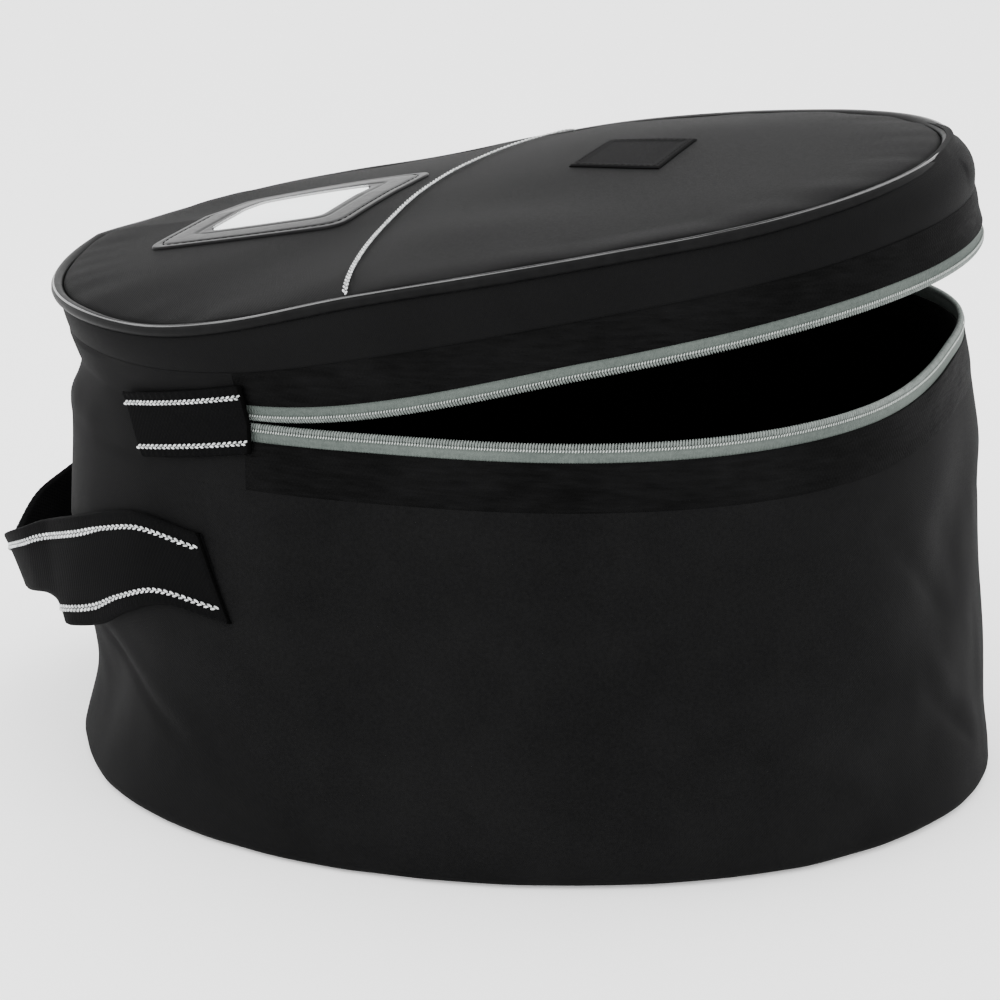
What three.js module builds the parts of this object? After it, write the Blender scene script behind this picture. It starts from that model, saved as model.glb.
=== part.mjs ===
// Oval zipped bag for a riding helmet, standing on its base with the lid propped open.
// Lengths are millimetres and angles degrees. +X points to the nose of the bag, where the
// zip opens widest, -X to its spine, where the lid stays joined, and -Y to the front.
// The origin is the centre of the underside, and +Z is up.

import * as THREE from 'three';

// Body
const bodyLength = 342;
const bodyDepth = 276;
const rimHeight = 166;
const frontSag = 17.5;
const creaseDepth = 7;
const creaseSpread = 75;
const creaseReach = 16;
const wallThickness = 2.4;
const baseThickness = 2.4;
const baseCornerRadius = 4;
const rimBandHeight = 16;
const foldDepth = 5;

// Zip
const tapeHeight = 3;
const tapeThickness = 1.2;
const coilHeight = 2.4;
const coilThickness = 2.2;
const spineArc = 186;
const openingBlend = 40;

// Lid
const lidLength = 320.4;
const lidDepth = 252.4;
const lidRoundness = 2.1;
const lidTaper = 0.1;
const lidCentreHeight = 200.5;
const lidShiftToSpine = 10.6;
const lidShiftToFront = 3;
const lidPitch = 9.6;
const lidRoll = 5.1;
const lidSideHeight = 34;
const lidFlareLength = 9;
const lidFlareDepth = 2;
const lidSideBulge = 4;
const lidDome = 7.8;
const lidWave = 4;
const lidFoldHeight = 8;
const lidBandShare = 0.46;
const pipingRadius = 2.3;
const pipingStandsProud = 0.8;

// Webbing
const tabLength = 58;
const tabHeight = 23;
const tabThickness = 1.5;
const tabOverlap = 3;
const tabRise = 2;
const tabDroop = 12;
const tabSlant = 12;
const tabNarrowing = 0.16;
const handleWidth = 37;
const handleThickness = 2.6;
const handleReach = 174.5;
const handleHeight = 92.5;
const handleStandOff = 37.5;
const handleLean = 22;
const handleSkew = 10;
const handleFold = 1 / 3;
const handleTuck = 1.9;

// Things on the lid
const frameLength = 78.5;
const frameDepth = 73;
const frameBorder = 16.5;
const frameThickness = 1.6;
const frameFromSpine = 44.7;
const frameCentreX = frameFromSpine + (frameLength - lidLength) / 2;
const frameCentreY = -5.5;
const frameSkew = 0.1;
const cardThickness = 0.4;
const paneThickness = 0.6;
const labelLength = 36.5;
const labelDepth = 38.5;
const labelThickness = 1;
const labelFromNose = 95.3;
const labelCentreX = (lidLength - labelLength) / 2 - labelFromNose;
const labelCentreY = 21.5;
const labelSlant = 0.33;
const labelSkew = 0.08;
const trimWidth = 2.6;
const trimThickness = 1.3;
const trimFromFrame = 29;
const trimEndX = frameCentreX + frameLength / 2 + trimFromFrame;
const trimBow = 16.5;
const trimSlant = 2.5;
const trimEndShare = 0.98;

// Slider
const sliderLength = 10;
const sliderHeight = 9;
const sliderThickness = 2.4;
const pullLength = 20;
const pullWidth = 5;

// Gap that separate pieces keep to each other
const seamGap = 0.3;

// Faces around the rings and along the strips
const ringColumns = 64;
const zipColumns = 48;
const spineColumns = 22;
const roundedColumns = 36;

// Outline of the body at shares of the rim height. Nose, spine, front and back are shares of
// half the body's length or depth, broad is how far behind the centre the oval is broadest,
// taper narrows the nose and widens the spine, and round squares the oval's corners.
const bodySections = [
  { height: 0.0, nose: 0.995, spine: 1.01, front: 0.99, back: 1.0, broad: 0.1, taper: 0.07, round: 2.07 },
  { height: 0.25, nose: 0.972, spine: 0.95, front: 0.98, back: 0.975, broad: 0.08, taper: 0.04, round: 2.25 },
  { height: 0.5, nose: 0.95, spine: 0.962, front: 0.975, back: 0.965, broad: 0.05, taper: 0.02, round: 2.3 },
  { height: 0.75, nose: 0.933, spine: 0.955, front: 0.955, back: 0.95, broad: 0.02, taper: 0.0, round: 2.4 },
  { height: 1.0, nose: 0.895, spine: 0.945, front: 0.928, back: 0.928, broad: 0.0, taper: 0.0, round: 2.46 },
];

// How far the line where the zip closes lies below the rim height, and the crease that
// carries it on around the spine. Angle is from the nose towards the back, drop a share of
// the front sag.
const rimLine = [
  { angle: -180, drop: 1.05 },
  { angle: -158, drop: 0.9 },
  { angle: -135, drop: 1.0 },
  { angle: -113, drop: 1.06 },
  { angle: -90, drop: 1.0 },
  { angle: -60, drop: 0.88 },
  { angle: -30, drop: 0.57 },
  { angle: 0, drop: 0.1 },
  { angle: 60, drop: 0.0 },
  { angle: 90, drop: 0.1 },
  { angle: 113, drop: 0.3 },
  { angle: 135, drop: 0.65 },
  { angle: 158, drop: 1.0 },
  { angle: 180, drop: 1.05 },
];

// How the lid's edge waves up and down around its plane. Lift is a share of the lid wave.
const lidLine = [
  { angle: -180, lift: 1.1 },
  { angle: -157, lift: 0.6 },
  { angle: -138, lift: 0.0 },
  { angle: -120, lift: -0.9 },
  { angle: -108, lift: -0.7 },
  { angle: -90, lift: 0.4 },
  { angle: -65, lift: 0.55 },
  { angle: -42, lift: 0.05 },
  { angle: 0, lift: 0.0 },
  { angle: 60, lift: -0.25 },
  { angle: 85, lift: -0.35 },
  { angle: 100, lift: -0.8 },
  { angle: 115, lift: -1.25 },
  { angle: 130, lift: -0.9 },
  { angle: 145, lift: -0.4 },
  { angle: 165, lift: 0.2 },
  { angle: 180, lift: 1.1 },
];

// Soft swellings of the lid's top. Places and reaches are shares of half its length and depth,
// height a share of the fold height.
const lidFolds = [
  { x: -0.9, y: 0.4, reachX: 0.1, reachY: 0.3, height: 0.6 },
  { x: 0.45, y: 0.55, reachX: 0.35, reachY: 0.25, height: 0.15 },
  { x: 0.1, y: -0.55, reachX: 0.3, reachY: 0.2, height: 0.2 },
];

// Dents and folds of the wall. Angle is measured from the nose towards the back, height and
// reach are shares of the rim height, spread is the half width in degrees, depth a share of
// the fold depth, and lean slants the fold in degrees over the whole height.
const wallFolds = [
  { angle: -62, height: 0.62, spread: 16, reach: 0.16, depth: 0.9, lean: 20 },
  { angle: -95, height: 0.5, spread: 12, reach: 0.14, depth: 0.7, lean: -25 },
  { angle: -140, height: 0.2, spread: 9, reach: 0.16, depth: 1.0, lean: 40 },
  { angle: -28, height: 0.2, spread: 12, reach: 0.12, depth: 0.7, lean: -35 },
  { angle: -10, height: 0.55, spread: 10, reach: 0.2, depth: 0.6, lean: 25 },
  { angle: 40, height: 0.45, spread: 15, reach: 0.2, depth: 0.8, lean: 20 },
  { angle: 95, height: 0.55, spread: 18, reach: 0.18, depth: 0.9, lean: -20 },
  { angle: 150, height: 0.3, spread: 12, reach: 0.18, depth: 0.9, lean: 30 },
];

// Handle, from its front end to its back end. Along is a share of the reach around the wall,
// out a share of the stand-off, height a share of the handle height, lean and skew shares of
// how far the upper edge leans out and lies back along the strap, broad a share of its width,
// and tuck how far its lowest third is folded in towards the wall.
const handleRoute = [
  { along: -1.0, out: 0.0, height: 1.02, lean: 0.0, skew: 1.2, broad: 0.84, tuck: 0.0 },
  { along: -0.84, out: 0.0, height: 1.035, lean: 0.0, skew: 1.2, broad: 0.86, tuck: 0.0 },
  { along: -0.72, out: 0.01, height: 0.97, lean: 0.0, skew: 1.1, broad: 0.94, tuck: 0.0 },
  { along: -0.62, out: 0.06, height: 0.89, lean: 0.0, skew: 0.9, broad: 1.03, tuck: 0.0 },
  { along: -0.48, out: 0.2, height: 0.8, lean: 0.0, skew: 0.7, broad: 1.03, tuck: 0.0 },
  { along: -0.43, out: 0.3, height: 0.765, lean: 0.1, skew: 0.6, broad: 1.0, tuck: 0.35 },
  { along: -0.38, out: 0.42, height: 0.72, lean: 0.2, skew: 0.5, broad: 0.97, tuck: 0.8 },
  { along: -0.26, out: 0.68, height: 0.63, lean: 0.4, skew: 0.3, broad: 0.88, tuck: 1.0 },
  { along: -0.13, out: 0.88, height: 0.545, lean: 0.6, skew: 0.0, broad: 0.8, tuck: 1.0 },
  { along: 0.0, out: 1.0, height: 0.615, lean: 0.6, skew: 0.0, broad: 0.85, tuck: 1.0 },
  { along: 0.09, out: 0.97, height: 0.66, lean: 0.5, skew: 0.0, broad: 0.9, tuck: 0.9 },
  { along: 0.18, out: 0.84, height: 0.73, lean: 0.4, skew: 0.0, broad: 0.95, tuck: 0.7 },
  { along: 0.3, out: 0.58, height: 0.8, lean: 0.3, skew: -0.2, broad: 1.0, tuck: 0.3 },
  { along: 0.42, out: 0.3, height: 0.865, lean: 0.2, skew: -0.4, broad: 1.0, tuck: 0.0 },
  { along: 0.54, out: 0.12, height: 0.915, lean: 0.1, skew: -0.7, broad: 1.0, tuck: 0.0 },
  { along: 0.64, out: 0.04, height: 0.955, lean: 0.0, skew: -1.0, broad: 0.93, tuck: 0.0 },
  { along: 0.76, out: 0.0, height: 0.98, lean: 0.0, skew: -1.0, broad: 0.86, tuck: 0.0 },
  { along: 1.0, out: 0.0, height: 0.98, lean: 0.0, skew: -1.0, broad: 0.84, tuck: 0.0 },
];

const degree = Math.PI / 180;
const spineAngle = Math.PI;

function smoothStep(value) {
  const share = Math.min(1, Math.max(0, value));
  return share * share * (3 - 2 * share);
}

// Reads a column of a table at a place between its rows, on a smooth curve through them.
function readTable(rows, placeColumn, column, place) {
  const last = rows.length - 1;
  const slope = (index) => {
    const before = rows[Math.max(0, index - 1)];
    const after = rows[Math.min(last, index + 1)];
    return (after[column] - before[column]) / (after[placeColumn] - before[placeColumn]);
  };
  let index = 0;
  while (index < last - 1 && place > rows[index + 1][placeColumn]) {
    index += 1;
  }
  const low = rows[index];
  const high = rows[index + 1];
  const span = high[placeColumn] - low[placeColumn];
  const share = Math.min(1, Math.max(0, (place - low[placeColumn]) / span));
  const square = share * share;
  const cube = square * share;
  const riseLow = span * slope(index);
  const riseHigh = span * slope(index + 1);
  const fromLow = (2 * cube - 3 * square + 1) * low[column] + (cube - 2 * square + share) * riseLow;
  const fromHigh = (3 * square - 2 * cube) * high[column] + (cube - square) * riseHigh;
  return fromLow + fromHigh;
}

// A point of a rounded oval: 1 in each half length, with the corners set by its roundness.
function unitOval(angle, roundness) {
  const cosine = Math.cos(angle);
  const sine = Math.sin(angle);
  const size = (Math.abs(cosine) ** roundness + Math.abs(sine) ** roundness) ** (1 / roundness);
  return { x: cosine / size, y: sine / size };
}

// Outward direction of an outline, square to it and level.
function outwardOf(outline, angle) {
  const step = 0.5 * degree;
  const before = outline(angle - step);
  const after = outline(angle + step);
  return new THREE.Vector3(after.y - before.y, before.x - after.x, 0).normalize();
}

function bodyOutline(angle, heightShare) {
  const read = (column) => readTable(bodySections, 'height', column, heightShare);
  const nose = read('nose') * bodyLength / 2;
  const spine = read('spine') * bodyLength / 2;
  const shift = read('broad') * bodyDepth / 2;
  const front = read('front') * bodyDepth / 2 + shift;
  const back = read('back') * bodyDepth / 2 - shift;
  const oval = unitOval(angle, read('round'));
  return {
    x: (nose - spine) / 2 + oval.x * (nose + spine) / 2,
    y: shift + oval.y * (oval.y < 0 ? front : back) * (1 - read('taper') * oval.x),
  };
}

function angleFrom(angle, centre) {
  return Math.abs(Math.atan2(Math.sin(angle - centre), Math.cos(angle - centre)));
}

function signedAngleFrom(angle, centre) {
  return Math.atan2(Math.sin(angle - centre), Math.cos(angle - centre));
}

// How far the folds press the wall in at a place.
function foldInset(angle, heightShare) {
  let inset = 0;
  for (const fold of wallFolds) {
    const rise = heightShare - fold.height;
    const turn = signedAngleFrom(angle, (fold.angle + fold.lean * rise) * degree);
    const across = turn / (fold.spread * degree);
    const along = rise / fold.reach;
    inset += foldDepth * fold.depth * Math.exp(-across * across - along * along);
  }
  return inset;
}

// How far the rounded lower corner draws the wall in.
function cornerInset(z) {
  const depth = Math.max(0, 1 - z / baseCornerRadius);
  return baseCornerRadius * (1 - Math.sqrt(1 - depth * depth));
}

// Height of the line where the two zip halves meet, and of the crease that carries it on
// around the spine.
function rimAt(angle) {
  return rimHeight - frontSag * readTable(rimLine, 'angle', 'drop', signedAngleFrom(angle, 0) / degree);
}

// How far the crease is drawn in, at a distance above or below it.
function creaseInset(angle, distance) {
  const around = 1 - smoothStep(angleFrom(angle, spineAngle) / (creaseSpread * degree));
  return creaseDepth * around * (1 - smoothStep(Math.abs(distance) / creaseReach));
}

// A point of the wall's outer face, drawn in by an inset.
function bodySide(angle, z, inset) {
  const heightShare = z / rimHeight;
  const place = bodyOutline(angle, heightShare);
  const outward = outwardOf((turn) => bodyOutline(turn, heightShare), angle);
  const folds = foldInset(angle, heightShare) + creaseInset(angle, z - rimAt(angle));
  const drawnIn = inset + cornerInset(z) + folds;
  return new THREE.Vector3(place.x, place.y, z).addScaledVector(outward, -drawnIn);
}

// Angles at distances along the rim from the middle of the spine, negative towards the front.
const arcStep = 0.25 * degree;
const arcTable = [0];
for (let turn = 0; turn < Math.PI; turn += arcStep) {
  const here = bodyOutline(spineAngle + turn, 1);
  const next = bodyOutline(spineAngle + turn + arcStep, 1);
  arcTable.push(arcTable[arcTable.length - 1] + Math.hypot(next.x - here.x, next.y - here.y));
}

function angleAtArc(distance) {
  let index = 0;
  while (index < arcTable.length - 2 && arcTable[index + 1] < Math.abs(distance)) {
    index += 1;
  }
  const share = (Math.abs(distance) - arcTable[index]) / (arcTable[index + 1] - arcTable[index]);
  return spineAngle - Math.sign(distance) * (index + share) * arcStep;
}

// The lid's own frame: tipped up at the nose and down at the front.
const lidFrame = new THREE.Matrix4()
  .makeRotationY(-lidPitch * degree)
  .multiply(new THREE.Matrix4().makeRotationX(lidRoll * degree))
  .setPosition(-lidShiftToSpine, -lidShiftToFront, lidCentreHeight);

function lidOutline(angle, length, depth) {
  const oval = unitOval(angle, lidRoundness);
  return {
    x: oval.x * length / 2,
    y: oval.y * depth / 2 * (1 - lidTaper * oval.x),
  };
}

function onLid(x, y, z) {
  return new THREE.Vector3(x, y, z).applyMatrix4(lidFrame);
}

function lidLift(angle) {
  return lidWave * readTable(lidLine, 'angle', 'lift', signedAngleFrom(angle, 0) / degree);
}

// Line of the piping around the lid.
function lidEdge(angle) {
  const place = lidOutline(angle, lidLength, lidDepth);
  return onLid(place.x, place.y, lidLift(angle));
}

function lidOutward(angle) {
  const outward = outwardOf((turn) => lidOutline(turn, lidLength, lidDepth), angle);
  return outward.transformDirection(lidFrame);
}

const zipEndTurn = spineAngle - angleAtArc(spineArc);

function openShare(angle) {
  const fromEnd = angleFrom(angle, spineAngle) - zipEndTurn;
  return smoothStep(fromEnd / (openingBlend * degree)) ** 0.5;
}

// Lower edge of the lid: the zip's upper half, which closes on to the rim at the zip's ends.
function lidMouth(angle) {
  const closed = bodySide(angle, rimAt(angle), 0);
  closed.z += seamGap;
  const place = lidOutline(angle, lidLength + 2 * lidFlareLength, lidDepth + 2 * lidFlareDepth);
  const open = onLid(place.x, place.y, -lidSideHeight);
  return closed.lerp(open, openShare(angle));
}

function lidSideLength(angle) {
  return lidEdge(angle).distanceTo(lidMouth(angle));
}

// A point of the lid's side, at a drop below the piping's line, drawn in by an inset.
function lidSide(angle, drop, inset) {
  const edge = lidEdge(angle);
  const mouth = lidMouth(angle);
  const share = drop / edge.distanceTo(mouth);
  const fullness = smoothStep(angleFrom(angle, spineAngle) / (creaseSpread * degree));
  const bulge = lidSideBulge * fullness * Math.sin(Math.PI * Math.min(1, Math.max(0, share)) ** 0.6);
  return edge.lerp(mouth, share).addScaledVector(lidOutward(angle), bulge - inset);
}

// The lid's top face in the lid's frame, raised by a lift.
const topInset = pipingRadius + seamGap;
const topLength = lidLength - 2 * topInset;
const topDepth = lidDepth - 2 * topInset;

function domeAt(x, y) {
  const along = 2 * x / topLength;
  const across = 2 * y / (topDepth * (1 - lidTaper * along));
  const edgeLift = lidLift(Math.atan2(across, along)) * Math.min(1, along * along + across * across);
  const rise = Math.max(0, 1 - Math.abs(along) ** lidRoundness - Math.abs(across) ** lidRoundness);
  let swell = lidDome;
  for (const fold of lidFolds) {
    const fromX = (along - fold.x) / fold.reachX;
    const fromY = (across - fold.y) / fold.reachY;
    swell += lidFoldHeight * fold.height * Math.exp(-fromX * fromX - fromY * fromY);
  }
  return wallThickness / 2 + edgeLift + swell * rise ** 0.6;
}

function onLidTop(x, y, lift) {
  return onLid(x, y, domeAt(x, y) + lift);
}

// Geometry from a list of points and triangles, with its faces turned outwards.
function solidFrom(points, triangles) {
  let volume = 0;
  for (const [a, b, c] of triangles) {
    volume += points[a].dot(points[b].clone().cross(points[c]));
  }
  const ordered = volume < 0 ? triangles.map(([a, b, c]) => [a, c, b]) : triangles;
  const geometry = new THREE.BufferGeometry().setFromPoints(points);
  geometry.setIndex(ordered.flat());
  return geometry;
}

function addQuad(triangles, a, b, c, d) {
  triangles.push([a, b, c], [a, c, d]);
}

// One cell of a grid of points, turned the other way on the second face.
function addCell(triangles, at, column, row, face) {
  const a = at(column, row, face);
  const b = at(column + 1, row, face);
  const c = at(column + 1, row + 1, face);
  const d = at(column, row + 1, face);
  if (face === 0) {
    addQuad(triangles, a, b, c, d);
  } else {
    addQuad(triangles, a, d, c, b);
  }
}

// A sheet with two faces on a grid, closed along its edges. Each face gives a point from two
// shares; a ring joins its last column to its first.
function sheet({ columns, rows, ring, outer, inner }) {
  const points = [];
  const triangles = [];
  const lines = ring ? columns : columns + 1;
  for (let line = 0; line < lines; line += 1) {
    for (let row = 0; row <= rows; row += 1) {
      points.push(outer(line / columns, row / rows), inner(line / columns, row / rows));
    }
  }
  const at = (line, row, face) => 2 * ((line % lines) * (rows + 1) + row) + face;
  for (let line = 0; line < columns; line += 1) {
    for (let row = 0; row < rows; row += 1) {
      addCell(triangles, at, line, row, 0);
      addCell(triangles, at, line, row, 1);
    }
    addQuad(triangles, at(line, 0, 0), at(line, 0, 1), at(line + 1, 0, 1), at(line + 1, 0, 0));
    addQuad(triangles, at(line, rows, 0), at(line + 1, rows, 0), at(line + 1, rows, 1), at(line, rows, 1));
  }
  for (let row = 0; !ring && row < rows; row += 1) {
    const next = row + 1;
    addQuad(triangles, at(0, row, 0), at(0, next, 0), at(0, next, 1), at(0, row, 1));
    addQuad(triangles, at(columns, row, 0), at(columns, row, 1), at(columns, next, 1), at(columns, next, 0));
  }
  return solidFrom(points, triangles);
}

// A disc with an upper and a lower face, in rings from its edge to its centre.
function disc({ columns, rings, upper, lower }) {
  const points = [];
  const triangles = [];
  for (const face of [upper, lower]) {
    for (let ring = 0; ring < rings; ring += 1) {
      const share = 1 - (ring / rings) ** 1.5;
      for (let column = 0; column < columns; column += 1) {
        points.push(face(column / columns * 2 * Math.PI, share));
      }
    }
    points.push(face(0, 0));
  }
  const faceSize = columns * rings + 1;
  const at = (column, ring, face) => face * faceSize + ring * columns + column % columns;
  for (let column = 0; column < columns; column += 1) {
    for (let ring = 0; ring < rings - 1; ring += 1) {
      addCell(triangles, at, column, ring, 0);
      addCell(triangles, at, column, ring, 1);
    }
    triangles.push([at(column, rings - 1, 0), at(column + 1, rings - 1, 0), faceSize - 1]);
    triangles.push([at(column + 1, rings - 1, 1), at(column, rings - 1, 1), 2 * faceSize - 1]);
    addQuad(triangles, at(column, 0, 0), at(column, 0, 1), at(column + 1, 0, 1), at(column + 1, 0, 0));
  }
  return solidFrom(points, triangles);
}

// Angles of a column, all the way round, along the zip, or across the spine.
const aroundRing = (share) => share * 2 * Math.PI;

const seamTurn = zipEndTurn - (spineAngle - angleAtArc(spineArc - seamGap));

function alongZip(share) {
  const halfTurn = Math.PI - zipEndTurn - seamTurn;
  return (2 * share - 1) * halfTurn;
}

function acrossSpine(share) {
  return spineAngle + (2 * share - 1) * zipEndTurn;
}

// Heights where the body's pieces meet, from the wall up to the zip.
const wallTopAt = (angle) => rimAt(angle) - coilHeight - tapeHeight - 2 * seamGap - rimBandHeight;
const bandBottomAt = (angle) => wallTopAt(angle) + seamGap;
const bandTopAt = (angle) => rimAt(angle) - coilHeight - tapeHeight - 2 * seamGap;
const tapeBottomAt = (angle) => rimAt(angle) - coilHeight - tapeHeight - seamGap;
const tapeTopAt = (angle) => rimAt(angle) - coilHeight - seamGap;
const coilBottomAt = (angle) => rimAt(angle) - coilHeight;

const mix = (from, to, share) => from + (to - from) * share;

// A strip of the body's side between two heights.
function bodyStrip({ columns, rows, ring, around, bottom, top, inset, thickness }) {
  const face = (drawnIn) => (column, row) => {
    const angle = around(column);
    return bodySide(angle, mix(bottom(angle), top(angle), row), drawnIn);
  };
  return sheet({ columns, rows, ring, outer: face(inset), inner: face(inset + thickness) });
}

// A strip of the lid's side between two drops below the piping's line.
function lidStrip({ columns, rows, ring, around, bottom, top, inset, thickness }) {
  const face = (drawnIn) => (column, row) => {
    const angle = around(column);
    return lidSide(angle, mix(bottom(angle), top(angle), row), drawnIn);
  };
  return sheet({ columns, rows, ring, outer: face(inset), inner: face(inset + thickness) });
}

const bagFabric = { color: 0x17181a, roughness: 0.75, metalness: 0 };
const lidFabric = { color: 0x1d1f21, roughness: 0.7, metalness: 0 };
const bandFabric = { color: 0x121315, roughness: 0.9, metalness: 0 };
const webbing = { color: 0x111214, roughness: 0.8, metalness: 0 };
const zipTape = { color: 0xa9b2ad, roughness: 0.75, metalness: 0 };
const zipCoil = { color: 0xd9dcd8, roughness: 0.4, metalness: 0 };
const glossBlack = { color: 0x202224, roughness: 0.25, metalness: 0 };
const clearSheet = { color: 0xf4f6f6, roughness: 0.08, metalness: 0, transparent: true, opacity: 0.35 };
const whiteCard = { color: 0xe9ecec, roughness: 0.6, metalness: 0 };
const reflectiveCord = { color: 0xe4e7e6, roughness: 0.45, metalness: 0 };
const sliderMetal = { color: 0x8d9190, roughness: 0.35, metalness: 1 };

const bag = new THREE.Group();

function addPiece(name, geometry, finish, parent = bag) {
  geometry.computeVertexNormals();
  const mesh = new THREE.Mesh(geometry, new THREE.MeshStandardMaterial(finish));
  mesh.name = name;
  parent.add(mesh);
  return mesh;
}

function addBodyWall() {
  const rowCount = 10;
  const cornerRows = 2;
  const face = (drawnIn) => (column, row) => {
    const angle = aroundRing(column);
    const step = row * rowCount;
    const above = (step - cornerRows) / (rowCount - cornerRows);
    const z = step <= cornerRows
      ? baseCornerRadius * (step / cornerRows) ** 2
      : mix(baseCornerRadius, wallTopAt(angle), above);
    return bodySide(angle, z, drawnIn);
  };
  const geometry = sheet({
    columns: ringColumns,
    rows: rowCount,
    ring: true,
    outer: face(0),
    inner: face(wallThickness),
  });
  addPiece('body_wall', geometry, bagFabric);
}

function addBasePanel() {
  const inset = wallThickness + seamGap;
  const face = (z) => (angle, share) => {
    const edge = bodySide(angle, 0, inset);
    return new THREE.Vector3(edge.x * share, edge.y * share, z);
  };
  const geometry = disc({ columns: ringColumns, rings: 1, upper: face(baseThickness), lower: face(0) });
  addPiece('base_panel', geometry, bagFabric);
}

function addRim() {
  const strip = { columns: zipColumns, rows: 1, ring: false, around: alongZip };
  const tapeInset = (wallThickness - tapeThickness) / 2;
  const coilInset = (wallThickness - coilThickness) / 2;
  const band = bodyStrip({
    ...strip, rows: 2, bottom: bandBottomAt, top: bandTopAt, inset: 0, thickness: wallThickness,
  });
  const tape = bodyStrip({
    ...strip, bottom: tapeBottomAt, top: tapeTopAt, inset: tapeInset, thickness: tapeThickness,
  });
  const coil = bodyStrip({
    ...strip, bottom: coilBottomAt, top: rimAt, inset: coilInset, thickness: coilThickness,
  });
  addPiece('rim_band', band, bandFabric);
  addPiece('body_zip_tape', tape, zipTape);
  addPiece('body_zip_coil', coil, zipCoil);
}

// Drops where the lid's pieces meet, from the piping down to the zip.
const lidBandTop = () => pipingRadius + seamGap;
const lidBandBottom = (angle) => lidSideLength(angle) * lidBandShare;
const lidZipBandTop = (angle) => lidBandBottom(angle) + seamGap;
const lidZipBandBottom = (angle) => lidSideLength(angle) - coilHeight - tapeHeight - 2 * seamGap;
const lidTapeTop = (angle) => lidSideLength(angle) - coilHeight - tapeHeight - seamGap;
const lidTapeBottom = (angle) => lidSideLength(angle) - coilHeight - seamGap;
const lidCoilTop = (angle) => lidSideLength(angle) - coilHeight;

function addLidSide() {
  const strip = { columns: zipColumns, rows: 1, ring: false, around: alongZip };
  const tapeInset = pipingStandsProud + (wallThickness - tapeThickness) / 2;
  const coilInset = pipingStandsProud + (wallThickness - coilThickness) / 2;
  const band = lidStrip({
    columns: ringColumns,
    rows: 3,
    ring: true,
    around: aroundRing,
    bottom: lidBandBottom,
    top: lidBandTop,
    inset: pipingStandsProud,
    thickness: wallThickness,
  });
  const zipBand = lidStrip({
    ...strip,
    rows: 2,
    bottom: lidZipBandBottom,
    top: lidZipBandTop,
    inset: pipingStandsProud,
    thickness: wallThickness,
  });
  const tape = lidStrip({
    ...strip, bottom: lidTapeBottom, top: lidTapeTop, inset: tapeInset, thickness: tapeThickness,
  });
  const coil = lidStrip({
    ...strip, bottom: lidSideLength, top: lidCoilTop, inset: coilInset, thickness: coilThickness,
  });
  addPiece('lid_band', band, lidFabric);
  addPiece('lid_zip_band', zipBand, bandFabric);
  addPiece('lid_zip_tape', tape, zipTape);
  addPiece('lid_zip_coil', coil, zipCoil);
}

// The strip that joins lid and wall, creased where the lid folds down on to the body.
function addSpinePanel() {
  const face = (drawnIn) => (column, row) => {
    const angle = acrossSpine(column);
    if (row <= 0.5) {
      return bodySide(angle, mix(bandBottomAt(angle), rimAt(angle), row * 2), drawnIn);
    }
    const drop = mix(lidSideLength(angle), lidZipBandTop(angle), row * 2 - 1);
    return lidSide(angle, drop, drawnIn + pipingStandsProud * (row * 2 - 1));
  };
  const geometry = sheet({
    columns: spineColumns,
    rows: 6,
    ring: false,
    outer: face(0),
    inner: face(wallThickness),
  });
  addPiece('spine_panel', geometry, bagFabric);
}

function addLidTop() {
  const face = (lift) => (angle, share) => {
    const edge = lidOutline(angle, topLength, topDepth);
    return onLidTop(edge.x * share, edge.y * share, lift);
  };
  const geometry = disc({ columns: ringColumns, rings: 5, upper: face(0), lower: face(-wallThickness) });
  addPiece('lid_top', geometry, lidFabric);
}

function addLidPiping() {
  const sides = 6;
  const points = [];
  const triangles = [];
  const up = new THREE.Vector3(0, 0, 1).transformDirection(lidFrame);
  for (let column = 0; column < ringColumns; column += 1) {
    const angle = aroundRing(column / ringColumns);
    const centre = lidEdge(angle);
    for (let side = 0; side < sides; side += 1) {
      const turn = (side + 0.5) / sides * 2 * Math.PI;
      const point = centre.clone().addScaledVector(lidOutward(angle), pipingRadius * Math.cos(turn));
      points.push(point.addScaledVector(up, pipingRadius * Math.sin(turn)));
    }
  }
  const at = (column, side) => (column % ringColumns) * sides + side % sides;
  for (let column = 0; column < ringColumns; column += 1) {
    for (let side = 0; side < sides; side += 1) {
      addCell(triangles, at, column, side, 0);
    }
  }
  addPiece('lid_piping', solidFrom(points, triangles), glossBlack);
}

// A point on the outside at a rise above the rim's line, on the lid's side or the body's.
function outsideAt(angle, rise, outwards) {
  if (rise <= 0) {
    return bodySide(angle, rimAt(angle) + rise, -outwards);
  }
  const blend = smoothStep(rise / (tabHeight / 2));
  return lidSide(angle, lidSideLength(angle) - rise, pipingStandsProud * blend - outwards);
}

function addZipTab(name, side) {
  const from = side * (spineArc - tabLength + tabOverlap);
  const to = side * (spineArc + tabOverlap);
  const face = (outwards) => (column, row) => {
    const cut = side * tabSlant * (1 - row) * (1 - column);
    const angle = angleAtArc(mix(from, to, column) + cut);
    const height = tabHeight * (1 - tabNarrowing * (1 - column));
    const rise = tabRise + tabHeight / 2 - (1 - row) * height - tabDroop * (1 - column);
    return outsideAt(angle, rise, outwards);
  };
  const geometry = sheet({
    columns: 10,
    rows: 4,
    ring: false,
    outer: face(2 * seamGap + tabThickness),
    inner: face(2 * seamGap),
  });
  addPiece(name, geometry, webbing);
}

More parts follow.
